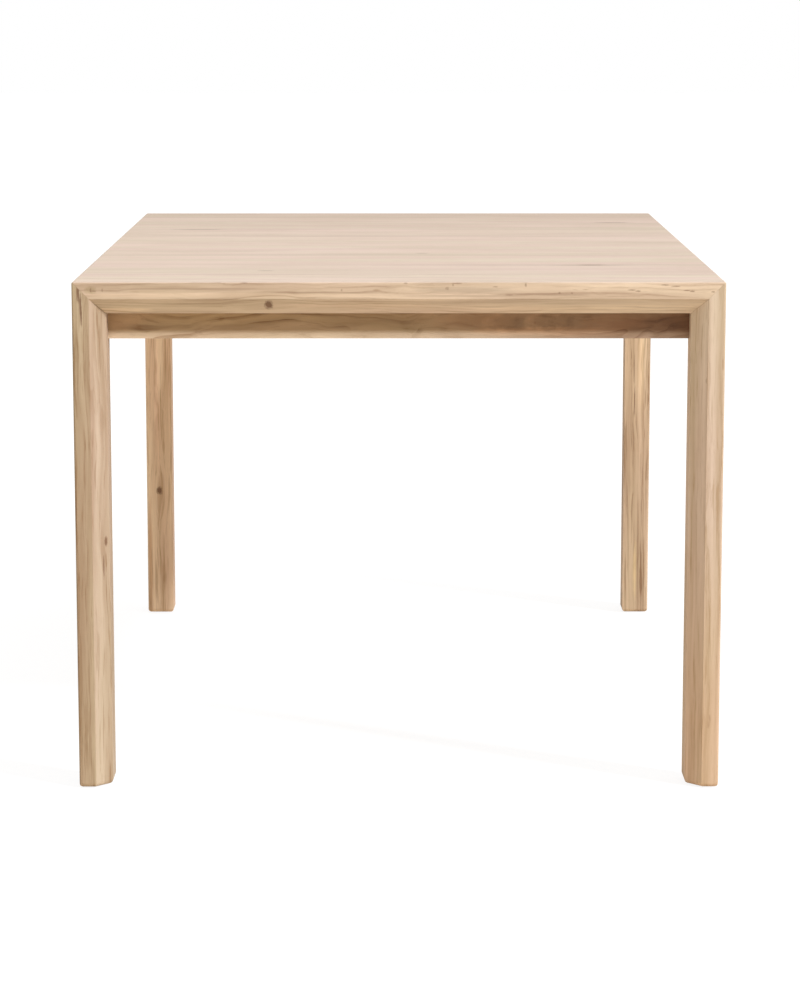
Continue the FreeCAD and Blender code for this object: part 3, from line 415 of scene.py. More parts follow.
def grain_lines(tree, wood, way, asked):
    """What the grain group gives to a board whose grain runs along an axis."""
    parts = parts_of(tree, wood)
    turned_parts = {number: parts[axis] for number, axis in enumerate(TURNS[way])}
    board = add(tree, "ShaderNodeCombineXYZ", turned_parts).outputs[0]
    return place_group(tree, grain, {"Vector": board, **asked})


def mitre_mask(tree, place):
    """One along the mitres between the legs and the rail."""
    parts = parts_of(tree, place)
    from_corner = maths(tree, "SUBTRACT", maths(tree, "ABSOLUTE", parts["X"]), parts["Z"])
    gap = maths(tree, "ABSOLUTE", maths(tree, "ADD", from_corner, MITRE_OFFSET))
    return spread(tree, gap, 0.0, MITRE_LINE, 1.0, 0.0)


print("grain can run along", list(TURNS))

# %% Make oak
MARK_COLOUR = tint(112, 80, 56)
PORE_COLOUR = tint(150, 116, 84)
STAVE_SHARE, STAVE_LEVEL = 0.65, 0.4
LACQUER_SHINE, LACQUER_ROUGHNESS = 0.3, (0.6, 0.72)
KNOT_FRAYED, MARK_FRAYED, WASH_FRAYED = 0.6, 0.8, 0.6
PORE_SUNK, RING_SUNK, LINE_SUNK = -1.0, -0.25, -1.5
GRAIN_DEPTH, GRAIN_BUMP = 0.00025, 0.5
YELLOWER, PINKER = (0.985, 1.01, 0.96, 1), (1.02, 0.985, 1.0, 1)
SHARES = {"Streaks": 0.55, "Threads": 0.22, "Pores": 0.3, "Flecks": 0.4, "Joint": 0.4, "Mitre": 0.2}


def oak(name, way, light, dark, pith, ring_size, bend, contrast, **extra):
    """Oak with its grain along one axis. Places and radii are on the table, in metres.

    The extras are marks, knots, washes, mitred, stave, pattern, shares, span and layers. Pattern
    is other values for the grain group, and shares are other shares of what it gives. Span gives
    the low and high ends that the shade is stretched to. A layer sets in along an axis between two
    places: with two colours it is other wood or a painted strip of light, with one a tint, which
    on some boards is painted light or shade.
    """
    material, tree = new_material(name)
    shares = {**SHARES, **extra.get("shares", {})}
    place = add(tree, "ShaderNodeTexCoord").outputs["Object"]
    wood = place
    for centre, _, _, reach in extra.get("knots", ()):
        wood = bowed_round(tree, wood, centre, reach, way)
    if extra.get("stave"):
        group = place_group(tree, staves, {"Vector": place})
        shift = vectors(tree, "SUBTRACT", group["Chance"], (0.5, 0.5, 0.5))
        wood = vectors(tree, "ADD", wood, vectors(tree, "MULTIPLY", shift, STAVE_SHIFT))
    asked = {"Pith": pith, "Ring Size": ring_size, "Bend": bend, **extra.get("pattern", {})}
    lines = grain_lines(tree, wood, way, asked)
    shade = maths(tree, "MULTIPLY", lines["Streaks"], shares["Streaks"])
    shade = maths(tree, "MULTIPLY_ADD", lines["Rings"], contrast, shade)
    shade = maths(tree, "MULTIPLY_ADD", lines["Threads"], shares["Threads"], shade)
    if extra.get("stave"):
        tone = maths(tree, "SUBTRACT", group["Tone"], STAVE_LEVEL)
        shade = maths(tree, "MULTIPLY_ADD", shade, STAVE_SHARE, tone)
    shade = spread(tree, shade, *extra.get("span", (0.0, 1.0)))
    colour = mixed(tree, shade, light, dark)
    for axis, start, end, first, second in extra.get("layers", ()):
        if second:
            over = mixed(tree, shade, first, second)
        else:
            over = mixed(tree, 1.0, colour, first, "MULTIPLY")
        colour = mixed(tree, rise(tree, place, axis, start, end), colour, over)
    for centre, radii, tone in extra.get("washes", ()):
        washed = mixed(tree, 1.0, colour, tone, "MULTIPLY")
        colour = mixed(tree, in_mark(tree, place, centre, radii, WASH_FRAYED), colour, washed)
    hue = mixed(tree, lines["Patches"], YELLOWER, PINKER)
    colour = mixed(tree, 1.0, colour, hue, "MULTIPLY")
    for kind in ("Pores", "Flecks"):
        colour = mixed(tree, maths(tree, "MULTIPLY", lines[kind], shares[kind]), colour, PORE_COLOUR)
    spots = tuple(knot[:3] + (KNOT_FRAYED,) for knot in extra.get("knots", ()))
    spots += tuple(spot + (MARK_FRAYED,) for spot in extra.get("marks", ()))
    for centre, radii, depth, frayed in spots:
        share = maths(tree, "MULTIPLY", in_mark(tree, place, centre, radii, frayed), depth)
        colour = mixed(tree, share, colour, MARK_COLOUR)
    height = maths(tree, "MULTIPLY", lines["Rings"], RING_SUNK)
    height = maths(tree, "MULTIPLY_ADD", lines["Pores"], PORE_SUNK, height)
    fine_lines = []
    if extra.get("stave"):
        fine_lines.append(("Joint", group["Joint"]))
    if extra.get("mitred"):
        fine_lines.append(("Mitre", mitre_mask(tree, place)))
    for kind, mask in fine_lines:
        colour = mixed(tree, maths(tree, "MULTIPLY", mask, shares[kind]), colour, MARK_COLOUR)
        height = maths(tree, "MULTIPLY_ADD", mask, LINE_SUNK, height)
    gloss = spread(tree, lines["Streaks"], 0.0, 1.0, *LACQUER_ROUGHNESS)
    shader = set_surface(tree, colour, gloss, height, GRAIN_DEPTH, GRAIN_BUMP)
    shader.inputs["Specular IOR Level"].default_value = LACQUER_SHINE
    return material


print("shares of the grain:", SHARES)

# %% [markdown]
# ## Where the marks are
# Each place was read off the photograph and carried onto the table through the camera above:
# short checks in the top, specks and one knot in the end rail, a long check down the left leg.
# A mark has a place, three radii and a depth, its share of the dark colour. A knot also has how
# far the grain bows round it. A wash is a soft pale or dark streak: it has a tone that tints. The
# dark one at the right end of the front apron is painted shade of the right leg.

# %% Marks on the top and the end rails
TOP_FACE, FRONT_FACE, MARK_REACH = 0.755, -0.7, 0.004
TOP_MARKS = tuple(
    ((x, y, TOP_FACE), (along, across, MARK_REACH), depth)
    for x, y, along, across, depth in (
        (-0.15, -0.225, 0.3, 0.014, 0.08), (0.21, -0.422, 0.25, 0.014, 0.1),
        (0.0, 0.15, 0.6, 0.018, 0.06), (0.297, -0.423, 0.07, 0.004, 0.4),
        (-0.351, 0.294, 0.05, 0.012, 0.35), (0.389, 0.462, 0.035, 0.01, 0.4),
        (0.038, -0.204, 0.012, 0.006, 0.35), (-0.2, -0.518, 0.014, 0.006, 0.4),
    )
)
TOP_KNOTS = (((0.297, -0.42, TOP_FACE), (0.022, 0.005, 0.004), 0.95, 0.05),)
RAIL_MARKS = tuple(
    ((x, FRONT_FACE, z), (along, MARK_REACH, up), depth)
    for x, z, along, up, depth in (
        (0.338, 0.7432, 0.006, 0.0012, 0.5), (0.347, 0.7415, 0.004, 0.0014, 0.5),
        (0.418, 0.7425, 0.005, 0.0011, 0.5), (0.4257, 0.7412, 0.004, 0.0013, 0.6),
        (0.456, 0.7405, 0.003, 0.0014, 0.5), (0.386, 0.7505, 0.006, 0.0011, 0.5),
        (0.402, 0.7485, 0.007, 0.0011, 0.5), (0.184, 0.7505, 0.0016, 0.003, 0.5),
        (0.14, 0.748, 0.004, 0.0012, 0.35), (0.16, 0.736, 0.006, 0.0012, 0.35),
        (0.07, 0.7455, 0.003, 0.0025, 0.35), (-0.447, 0.743, 0.0014, 0.0035, 0.5),
        (-0.443, 0.7415, 0.005, 0.0012, 0.4), (-0.43, 0.743, 0.0014, 0.003, 0.35),
        (0.01, 0.753, 0.003, 0.0014, 0.4), (0.0845, 0.7528, 0.008, 0.0013, 0.4),
        (0.0785, 0.7505, 0.0014, 0.002, 0.4), (0.233, 0.739, 0.0018, 0.0016, 0.45),
        (0.251, 0.7385, 0.0018, 0.0014, 0.4), (-0.2245, 0.7535, 0.006, 0.0012, 0.4),
        (-0.083, 0.743, 0.0014, 0.002, 0.4), (0.215, 0.737, 0.07, 0.0022, 0.3),
        (0.1, 0.7345, 0.09, 0.002, 0.25), (-0.1, 0.7395, 0.08, 0.0018, 0.22),
        (-0.3, 0.745, 0.12, 0.002, 0.2),
    )
)
RAIL_WASHES = (
    ((-0.26, FRONT_FACE, 0.7352), (0.3, 0.01, 0.0042), (1.16, 1.16, 1.16, 1)),
    ((-0.447, FRONT_FACE, 0.743), (0.009, 0.01, 0.006), (0.84, 0.84, 0.76, 1)),
    ((-0.38, FRONT_FACE, 0.7455), (0.11, 0.01, 0.0075), (0.88, 0.87, 0.84, 1)),
    ((0.1, FRONT_FACE, 0.743), (0.075, 0.01, 0.0055), (0.82, 0.82, 0.82, 1)),
    ((0.35, FRONT_FACE, 0.7465), (0.1, 0.01, 0.0075), (1.08, 1.1, 1.1, 1)),
    ((0.24, -0.69, 0.7255), (0.21, 0.03, 0.0055), (0.84, 0.83, 0.84, 1)),
    ((-0.06, -0.69, 0.7195), (0.13, 0.03, 0.0045), (1.13, 1.13, 1.14, 1)),
    ((0.2, -0.69, 0.7115), (0.15, 0.03, 0.0055), (1.16, 1.17, 1.18, 1)),
    ((-0.405, -0.69, 0.7115), (0.05, 0.03, 0.0045), (1.3, 1.3, 1.28, 1)),
)
RAIL_KNOTS = (((-0.189, -0.69, 0.7206), (0.0068, 0.014, 0.0085), 0.9, 0.022),)
print("marks on the top and the end rails:", len(TOP_MARKS) + len(RAIL_MARKS))

# %% Marks on the legs
BACK_LEG_FACE = 0.628
LEG_MARKS = (
    ((-0.4652, FRONT_FACE, 0.7375), (0.0022, 0.006, 0.014), 0.8),
    ((-0.462, FRONT_FACE, 0.721), (0.0019, 0.006, 0.018), 0.8),
    ((-0.4612, FRONT_FACE, 0.704), (0.0016, 0.006, 0.015), 0.75),
    ((-0.475, FRONT_FACE, 0.662), (0.0022, 0.006, 0.02), 0.7),
    ((-0.4354, -0.684, 0.333), (0.0014, 0.004, 0.017), 0.65),
    ((0.4446, BACK_LEG_FACE, 0.465), (0.0013, 0.004, 0.03), 0.6),
    ((0.446, BACK_LEG_FACE, 0.405), (0.0015, 0.004, 0.03), 0.7),
)
LEG_WASHES = (
    ((-0.453, BACK_LEG_FACE, 0.39), (0.006, 0.01, 0.13), (1.14, 1.14, 1.18, 1)),
    ((-0.437, BACK_LEG_FACE, 0.42), (0.007, 0.01, 0.13), (0.9, 0.87, 0.84, 1)),
    ((-0.469, BACK_LEG_FACE, 0.1), (0.004, 0.01, 0.12), (0.85, 0.75, 0.68, 1)),
    ((0.457, BACK_LEG_FACE, 0.47), (0.007, 0.01, 0.09), (1.14, 1.14, 1.1, 1)),
    ((0.45, BACK_LEG_FACE, 0.083), (0.0035, 0.01, 0.055), (1.28, 1.3, 1.15, 1)),
)
LEG_KNOTS = (
    ((-0.432, -0.681, 0.37), (0.0026, 0.004, 0.008), 0.85, 0.016),
    ((-0.4512, BACK_LEG_FACE, 0.236), (0.006, 0.005, 0.008), 0.9, 0.024),
)
print("marks on the legs:", len(LEG_MARKS))

# %% Make the wood of the top and the end rails
PALE, DEEP = tint(220, 199, 181), tint(191, 170, 152)
CROWN = ("Z", 0.7535, 0.7546, PALE, DEEP)
END_LIGHT, END_DARK = tint(210, 184, 156), tint(184, 154, 124)
END_STARTS, END_FULL = 0.4738, 0.4748
ENDS = tuple(("X", side * END_STARTS, side * END_FULL, END_LIGHT, END_DARK) for side in (-1, 1))
TOP_PATTERN = {"Drawn Out": (3.5, 17, 17), "Wave": (2, 6, 6)}
top_oak = oak(
    "top_oak", "X", PALE, DEEP, pith=(0, 0, 0.69), ring_size=0.009, bend=0.03, contrast=0.15,
    marks=TOP_MARKS, knots=TOP_KNOTS, stave=True, pattern=TOP_PATTERN, layers=ENDS,
    shares={"Streaks": 0.38, "Threads": 0.14},
)
rail_oak = oak(
    "rail_oak", "X", tint(203, 179, 153), tint(134, 103, 77),
    pith=(0, -0.69, 0.7), ring_size=0.006, bend=0.03, contrast=0.45,
    marks=RAIL_MARKS, knots=RAIL_KNOTS, mitred=True, stave=True, span=(0.1, 1.0),
    pattern={"Drawn Out": (3.5, 70, 70), "Wave": (5, 12, 12)},
    layers=(("X", -0.25, 0.35, (1.19, 1.2, 1.25, 1), None), CROWN) + ENDS, washes=RAIL_WASHES,
)
print("wood made:", top_oak.name, rail_oak.name)

# %% Make the wood of the legs
CHAMFER_STARTS, CHAMFER_FULL = 0.4515, 0.4485
# Each leg has its own wood. The tints on the front legs' chamfers are painted light.
LEG_WOODS = {
    "front_left_leg": (
        tint(188, 167, 138), tint(140, 111, 79), (0, -0.5, -0.64),
        # Painted light: the chamfer is tinted paler and bluer.
        (("X", -CHAMFER_STARTS, -CHAMFER_FULL, (1.04, 1.045, 1.18, 1), None),),
    ),
    "front_right_leg": (
        tint(213, 192, 169), tint(176, 149, 118), (0, 0.43, -0.65),
        (
            ("Z", 0.4, 0.1, (0.98, 0.9, 0.8, 1), None),
            # Painted light: the chamfer, which the lamp misses, is tinted paler.
            ("X", CHAMFER_STARTS, CHAMFER_FULL, (1.11, 1.13, 1.14, 1), None),
        ),
    ),
    "back_left_leg": (
        # This leg's pale wood is partly painted light, for the shade under the table top.
        tint(248, 218, 188), tint(186, 149, 117), (0, -0.46, 0.69),
        # Painted light: paler towards the top, where the table top shades the leg.
        (("Z", 0.3, 0.6, (1.13, 1.13, 1.12, 1), None),),
    ),
    "back_right_leg": (
        tint(206, 180, 153), tint(131, 99, 72), (0, 0.41, 0.66),
        # Painted light: paler towards the top, where the table top shades the leg.
        (("Z", 0.25, 0.6, (1.25, 1.27, 1.26, 1), None),),
    ),
}
leg_oaks = {}
for node, (light, dark, pith, layers) in LEG_WOODS.items():
    leg_oaks[node] = oak(
        node + "_oak", "Z", light, dark, pith, ring_size=0.008, bend=0.02, contrast=0.3,
        marks=LEG_MARKS, knots=LEG_KNOTS, mitred=True, layers=layers, washes=LEG_WASHES,
        shares={"Threads": 0.45},
        pattern={"Drawn Out": (2, 55, 55), "Wave": (4, 8, 8)},
    )
print("kinds of wood for the legs:", len(leg_oaks))

# %% Make the wood of the aprons
APRON_FACE, WASH_REACH = -0.648, 0.02
# The apron's wood is darker than the rail's: partly its own tone, partly painted shade that deepens
# the end rail's shadow on it.
LIGHT_APRON, DARK_APRON = tint(190, 160, 122), tint(122, 90, 59)
# A painted strip of light: below the end rail's shadow, the lower edge of the front apron turns to
# paler wood.
APRON_PAINTED_LIT_STRIP = ("Z", 0.680, 0.674, tint(228, 206, 175), tint(172, 143, 112))
APRON_PAINTED_LIGHT_AND_SHADE = (
    APRON_PAINTED_LIT_STRIP,
    # Painted shade of the right leg: the apron darkens from its middle towards its right end, most
    # near the leg.
    ("X", -0.3, 0.0, (0.86, 0.86, 0.86, 1), None),
    ("X", 0.05, 0.35, (0.66, 0.58, 0.57, 1), None),
)
APRON_WASHES = tuple(
    ((x, APRON_FACE, z), (along, WASH_REACH, up), tone)
    for x, z, along, up, tone in (
        (0.23, 0.677, 0.12, 0.007, (1.35, 1.28, 1.25, 1)),
        (0.12, 0.69, 0.07, 0.016, (0.92, 0.86, 0.82, 1)),
        (0.37, 0.686, 0.09, 0.011, (0.88, 0.82, 0.8, 1)),
        # Painted shade of the right leg, at the apron's right end.
        (0.425, 0.69, 0.06, 0.018, (0.72, 0.63, 0.57, 1)),
        (0.32, 0.69, 0.05, 0.012, (1.15, 1.11, 1.09, 1)),
        (0.148, 0.69, 0.026, 0.014, (1.24, 1.23, 1.22, 1)),
        (0.16, 0.69, 0.028, 0.014, (0.78, 0.78, 0.78, 1)),
        (0.204, 0.691, 0.019, 0.013, (1.3, 1.28, 1.26, 1)),
        (0.213, 0.691, 0.02, 0.0135, (0.75, 0.75, 0.75, 1)),
        (0.233, 0.691, 0.017, 0.012, (1.24, 1.23, 1.22, 1)),
        (0.242, 0.691, 0.018, 0.0125, (0.79, 0.79, 0.79, 1)),
        (-0.42, 0.69, 0.05, 0.011, (1.13, 1.09, 1.09, 1)),
        (-0.28, 0.697, 0.14, 0.01, (1.1, 1.11, 1.08, 1)),
    )
)
APRON_WHORL = (((0.2, APRON_FACE, 0.69), (0.002, 0.004, 0.002), 0.3, 0.06),)
apron_oak = oak(
    "apron_oak", "X", LIGHT_APRON, DARK_APRON,
    pith=(0, -0.6, 0.66), ring_size=0.009, bend=0.06, contrast=0.55,
    layers=APRON_PAINTED_LIGHT_AND_SHADE, washes=APRON_WASHES, knots=APRON_WHORL, shares={"Streaks": 0.4},
    pattern={"Drawn Out": (7, 28, 28), "Wave": (5, 10, 10)},
)
side_oak = oak(
    "side_oak", "Y", LIGHT_APRON, DARK_APRON,
    pith=(0, 0.3, 0.66), ring_size=0.005, bend=0.04, contrast=0.55,
)
print("washes on the front apron:", len(APRON_WASHES))

# %% Make the wood of the leaf and of the hidden blocks
leaf_oak = oak(
    "leaf_oak", "Y", PALE, DEEP, pith=(0, 0.02, 0.64), ring_size=0.005, bend=0.03, contrast=0.4,
)
BEECH = {
    "light": tint(206, 168, 132), "dark": tint(182, 142, 106),
    "pith": (0, 0.2, 0.5), "ring_size": 0.003, "bend": 0.01, "contrast": 0.25,
}
beech = oak("beech", "X", **BEECH)
beech_long = oak("beech_long", "Y", **BEECH)
print("materials with the floor, the oak and the beech:", len(bpy.data.materials))

# %% [markdown]
# ## Metal, nylon and felt
# The fittings are out of sight in the photograph. Drawn aluminium has fine lines along its
# length, zinc-plated steel a cloudy shine, nylon a waxy one.

# %% Make the fittings' finishes
CLOUD_DETAIL, CLOUD_ROUGHNESS, CLOUD_LEVELS = 4.0, 0.6, (0.3, 0.7)
FITTING_BUMP = 0.4


def fitting(name, first, second, metal, stretch, rough, scale, depth):
    """A finish with a cloudy or drawn pattern in its colour, roughness and surface.

    Rough is the lowest and the highest roughness, scale the number of clouds in a metre, and
    depth the depth of the pattern in metres.
    """
    material, tree = new_material(name)
    place = vectors(tree, "MULTIPLY", add(tree, "ShaderNodeTexCoord").outputs["Object"], stretch)
    pattern = noise(tree, place, scale, CLOUD_DETAIL, CLOUD_ROUGHNESS)
    colour = mixed(tree, spread(tree, pattern, *CLOUD_LEVELS), first, second)
    gloss = spread(tree, pattern, *CLOUD_LEVELS, *rough)
    shader = set_surface(tree, colour, gloss, pattern, depth, FITTING_BUMP)
    shader.inputs["Metallic"].default_value = metal
    return material


DRAWN, EVEN = (1, 0.01, 1), (1, 1, 1)
METAL, PLAIN = 1.0, 0.0

aluminium = fitting(
    "aluminium", tint(214, 215, 217), tint(196, 198, 200), METAL, DRAWN,
    rough=(0.28, 0.4), scale=900, depth=0.00003,
)
steel = fitting(
    "steel", tint(200, 201, 204), tint(170, 171, 176), METAL, EVEN,
    rough=(0.25, 0.42), scale=160, depth=0.00003,
)
brass = fitting(
    "brass", tint(214, 178, 104), tint(190, 150, 80), METAL, EVEN,
    rough=(0.22, 0.36), scale=200, depth=0.00002,
)
nylon = fitting(
    "nylon", tint(231, 229, 221), tint(227, 224, 215), PLAIN, EVEN,
    rough=(0.4, 0.5), scale=240, depth=0.00001,
)
black_nylon = fitting(
    "black_nylon", tint(44, 43, 43), tint(32, 31, 31), PLAIN, EVEN,
    rough=(0.4, 0.55), scale=260, depth=0.00005,
)
felt = fitting(
    "felt", tint(112, 106, 100), tint(84, 80, 76), PLAIN, EVEN,
    rough=(0.9, 1.0), scale=1500, depth=0.0004,
)
print("materials with those of the fittings:", len(bpy.data.materials))

# %% [markdown]
# ## Dress the frame
# Each piece keeps the slot that the record gives it. Boards in oak also differ by the way
# their grain runs, so the end rails, the legs and the side aprons each get their own.

# %% Give each piece its finish
BY_SLOT = {
    "oak": top_oak,
    "oak_apron": apron_oak,
    "beech": beech,
    "aluminium": aluminium,
    "steel": steel,
    "brass": brass,
    "nylon": nylon,
    "black_nylon": black_nylon,
    "felt": felt,
}
BY_ENDING = {
    "end_rail": rail_oak,
    "left_apron": side_oak,
    "right_apron": side_oak,
    "rack_spacer": beech_long,
    "seam_pins": beech_long,
    "leaf": leaf_oak,
}


def finish_of(node):
    if node in leg_oaks:
        return leg_oaks[node]
    for ending, material in BY_ENDING.items():
        if node.endswith(ending):
            return material
    return BY_SLOT[slot_of[node]]


for name, piece in nodes.items():
    for slot in piece.material_slots:
        slot.material = finish_of(name)
print("pieces dressed:", len(nodes))

# %% [markdown]
# ## Where the small hardware sits
# The frame draws screws, pins and bushes with few flat sides, which is all that the motion
# needs. Their rounded stand-ins go exactly where those are. Each node's triangles are joined
# into separate solids, and each solid gives where it starts, which way it points and its length.


# %% Find each small solid in the frame
def solids_in(node):
    """The corner points of each separate solid of a node."""
    mesh = nodes[node].data
    keys = [tuple(round(value, 5) for value in corner.co) for corner in mesh.vertices]
    chief = {key: key for key in keys}

    def chief_of(key):
        while chief[key] != key:
            key = chief[key]
        return key

    for face in mesh.polygons:
        first = chief_of(keys[face.vertices[0]])
        for corner in face.vertices[1:]:
            chief[chief_of(keys[corner])] = first
    solids = {}
    for key in chief:
        solids.setdefault(chief_of(key), []).append(Vector(key))
    return list(solids.values())


def span_of(points):
    low = Vector([min(point[axis] for point in points) for axis in range(3)])
    high = Vector([max(point[axis] for point in points) for axis in range(3)])
    return low, high


def axis_of(points, way=None):
    """Where a solid starts at its wide end, which way it points, and its length."""
    low, high = span_of(points)
    size = high - low
    if way is None:
        way = max(range(3), key=lambda axis: size[axis])
    middle = (low + high) / 2

    def off_axis(point):
        return sum((point[axis] - middle[axis]) ** 2 for axis in range(3) if axis != way)

    wide = max(points, key=off_axis)
    sign = -1.0 if wide[way] > middle[way] else 1.0
    direction = Vector([sign if axis == way else 0.0 for axis in range(3)])
    start = middle.copy()
    start[way] = high[way] if sign < 0 else low[way]
    return start, direction, size[way]


print("screws in the front half:", len(solids_in("front_screws")))

# %% [markdown]
# ## Turned pieces
# Screws, pins, bushes, glides and knobs are all turned on a lathe, so they are made as a lathe
# makes them: a profile is drawn point by point from one corner, then spun round the axis. A
# cylinder with bevels would do for a pin, but not for a waisted knob or a domed head.

# %% Turn a profile
TURN_STEPS = 32
MILLIMETRE = 0.001
SMOOTH_BELOW = math.radians(35)


def clear_choice():
    bpy.ops.object.select_all(action="DESELECT")


def turned(name, profile, steps=TURN_STEPS):
    """Spins a profile of radius and height in millimetres round the upright axis."""
    points = [Vector((radius * MILLIMETRE, 0, height * MILLIMETRE)) for radius, height in profile]
    clear_choice()
    bpy.ops.mesh.primitive_plane_add(size=MILLIMETRE, location=points[0])
    piece = bpy.context.object
    piece.name = name
    bpy.ops.object.mode_set(mode="EDIT")
    bpy.ops.mesh.merge(type="CENTER")
    for before, after in zip(points, points[1:]):
        bpy.ops.mesh.extrude_region_move(TRANSFORM_OT_translate={"value": after - before})
    bpy.ops.mesh.select_all(action="SELECT")
    bpy.ops.mesh.spin(steps=steps, angle=2 * math.pi, center=(0, 0, 0), axis=(0, 0, 1))
    bpy.ops.mesh.select_all(action="SELECT")
    bpy.ops.mesh.remove_doubles(threshold=MILLIMETRE / 100)
    bpy.ops.mesh.normals_make_consistent(inside=False)
    bpy.ops.object.mode_set(mode="OBJECT")
    bpy.ops.object.transform_apply(location=True, rotation=True, scale=True)
    bpy.ops.object.shade_smooth_by_angle(angle=SMOOTH_BELOW)
    return piece


print("flat sides round a turned piece:", TURN_STEPS)

# %% Cut a cross and set copies in place
CROSS_WIDTH = 0.4


def cross_cut(piece, reach, depth):
    """Sinks a cross for the screwdriver in the wide end, which faces down."""
    clear_choice()
    bpy.ops.mesh.primitive_cube_add(size=1, location=(0, 0, 0))
    bar = bpy.context.object
    bar.scale = (2 * reach, CROSS_WIDTH * reach, 2 * depth)
    bpy.ops.object.duplicate()
    other = bpy.context.object
    other.scale = (CROSS_WIDTH * reach, 2 * reach, 2 * depth)
    low = min(corner.co.z for corner in piece.data.vertices)
    for cutter in (bar, other):
        cutter.location.z = low
        tool = piece.modifiers.new("cross", "BOOLEAN")
        tool.object = cutter
        tool.solver = "EXACT"
        clear_choice()
        piece.select_set(True)
        bpy.context.view_layer.objects.active = piece
        bpy.ops.object.modifier_apply(modifier="cross")
        bpy.data.objects.remove(cutter)


def copies_at(model, name, places, material, body, replaced):
    """Sets a copy of a model at each place and joins them into one piece that rides on a body.

    A place is a start, a direction and a length. The model points up from the start, and what
    lies past its shoulder is drawn out to the length.
    """
    made = []
    tip = max(corner.co.z for corner in model.data.vertices)
    for start, direction, length in places:
        copy = model.copy()
        copy.data = model.data.copy()
        bpy.context.collection.objects.link(copy)
        for corner in copy.data.vertices:
            if corner.co.z > tip / 2:
                corner.co.z += length - tip
        turn = Vector((0, 0, 1)).rotation_difference(direction).to_matrix().to_4x4()
        copy.data.transform(turn)
        copy.data.transform(Matrix.Translation(start))
        made.append(copy)
    clear_choice()
    for copy in made:
        copy.select_set(True)
    bpy.context.view_layer.objects.active = made[0]
    bpy.ops.object.join()
    piece = bpy.context.object
    piece.name = name
    piece.data.materials.clear()
    piece.data.materials.append(material)
    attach(piece, body)
    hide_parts(replaced)


print("a cross is", CROSS_WIDTH, "times as wide as it reaches")

# %% [markdown]
# ## Screws
# Two kinds hold the table together: a domed screw under the top and the runners, and a tapered
# one sunk inside the channels. One of each is turned and cross cut, then copied to every place
# where the frame has one, drawn out to the length that it has there.

# %% Turn the screws
DOMED = (
    (0, 0), (1.5, 0.05), (2.8, 0.35), (3.55, 0.95), (3.8, 1.7), (3.8, 2.2), (1.9, 2.2), (1.9, 9.0),
    (0, 10.0),
)
TAPERED = ((0, 0), (3.55, 0), (3.8, 0.2), (1.9, 2.2), (1.9, 9.0), (0, 10.0))
CROSS_REACH, CROSS_DEPTH = 0.0021, 0.0011
SMALL_STEPS = 24

domed_screw = turned("domed_screw", DOMED, SMALL_STEPS)
cross_cut(domed_screw, CROSS_REACH, CROSS_DEPTH)
tapered_screw = turned("tapered_screw", TAPERED, SMALL_STEPS)
cross_cut(tapered_screw, CROSS_REACH, CROSS_DEPTH)


def across_table(place):
    """True for a screw that points across the table. Its direction is a single axis."""
    return place[1].x != 0


def screws_of(node, body):
    places = [axis_of(points) for points in solids_in(node)]
    domed = [place for place in places if not across_table(place)]
    tapered = [place for place in places if across_table(place)]
    for kind, model, chosen in (("domed_", domed_screw, domed), ("tapered_", tapered_screw, tapered)):
        if chosen:
            name = node.replace("screws", kind + "screws")
            copies_at(model, name, chosen, steel, body, node)
    print(node, len(domed), "domed", len(tapered), "tapered")


screws_of("front_screws", "front_half")
screws_of("back_screws", "back_half")
screws_of("carriage_screws", "carriage")

# %% [markdown]
# ## Leg bolts
# A threaded stud runs from each leg through a corner block and is drawn up by a nut on a
# washer. The thread is turned as rings, which at this size can't be told from a helix. The nut
# starts as a cylinder with six sides, is bored, and has its sharp edges bevelled. In the frame
# a washer and its nut share the rim of their bore, so they are found as one solid and are
# told apart here by the washer's thickness.

# %% Turn the stud and the washer
STUD_RADIUS, THREAD_DEPTH, THREAD_PITCH, THREADED = 3.0, 0.45, 1.0, 12
SHANK_STARTS, SHANK_ENDS, STUD_END, STUD_STEPS = 13, 39, 40, 16
WASHER = ((3.3, 0), (6.0, 0), (6.2, 0.25), (6.2, 1.25), (6.0, 1.5), (3.3, 1.5), (3.3, 0))

thread = [(0, 0), (STUD_RADIUS - THREAD_DEPTH, 0)]
for ring in range(THREADED):
    thread.append((STUD_RADIUS, (ring + 0.5) * THREAD_PITCH))
    thread.append((STUD_RADIUS - THREAD_DEPTH, (ring + 1) * THREAD_PITCH))
shank = [(STUD_RADIUS, SHANK_STARTS), (STUD_RADIUS, SHANK_ENDS), (0, STUD_END)]
stud = turned("stud", thread + shank, STUD_STEPS)
washer = turned("washer", WASHER, SMALL_STEPS)
print("rings in the thread:", THREADED)

# %% Bore and bevel the nut
NUT_CORNER, NUT_BORE, NUT_HEIGHT, NUT_BEVEL = 0.00577, 0.0031, 0.005, 0.0005

clear_choice()
nut_middle = (0, 0, NUT_HEIGHT / 2)
bpy.ops.mesh.primitive_cylinder_add(
    vertices=6, radius=NUT_CORNER, depth=NUT_HEIGHT, location=nut_middle,
)
nut = bpy.context.object
nut.name = "nut"
bpy.ops.mesh.primitive_cylinder_add(
    vertices=SMALL_STEPS, radius=NUT_BORE, depth=2 * NUT_HEIGHT, location=nut_middle,
)
drill = bpy.context.object
bore = nut.modifiers.new("bore", "BOOLEAN")
bore.object = drill
edge = nut.modifiers.new("edge", "BEVEL")
edge.width, edge.segments, edge.limit_method = NUT_BEVEL, 2, "ANGLE"
clear_choice()
nut.select_set(True)
bpy.context.view_layer.objects.active = nut
bpy.ops.object.modifier_apply(modifier="bore")
bpy.ops.object.modifier_apply(modifier="edge")
bpy.data.objects.remove(drill)
bpy.ops.object.transform_apply(location=True, rotation=True, scale=True)
print("faces of the nut:", len(nut.data.polygons))

# %% Set studs, washers and nuts in place
STUD_LONGER_THAN, WASHER_THICKNESS = 0.03, 0.0015

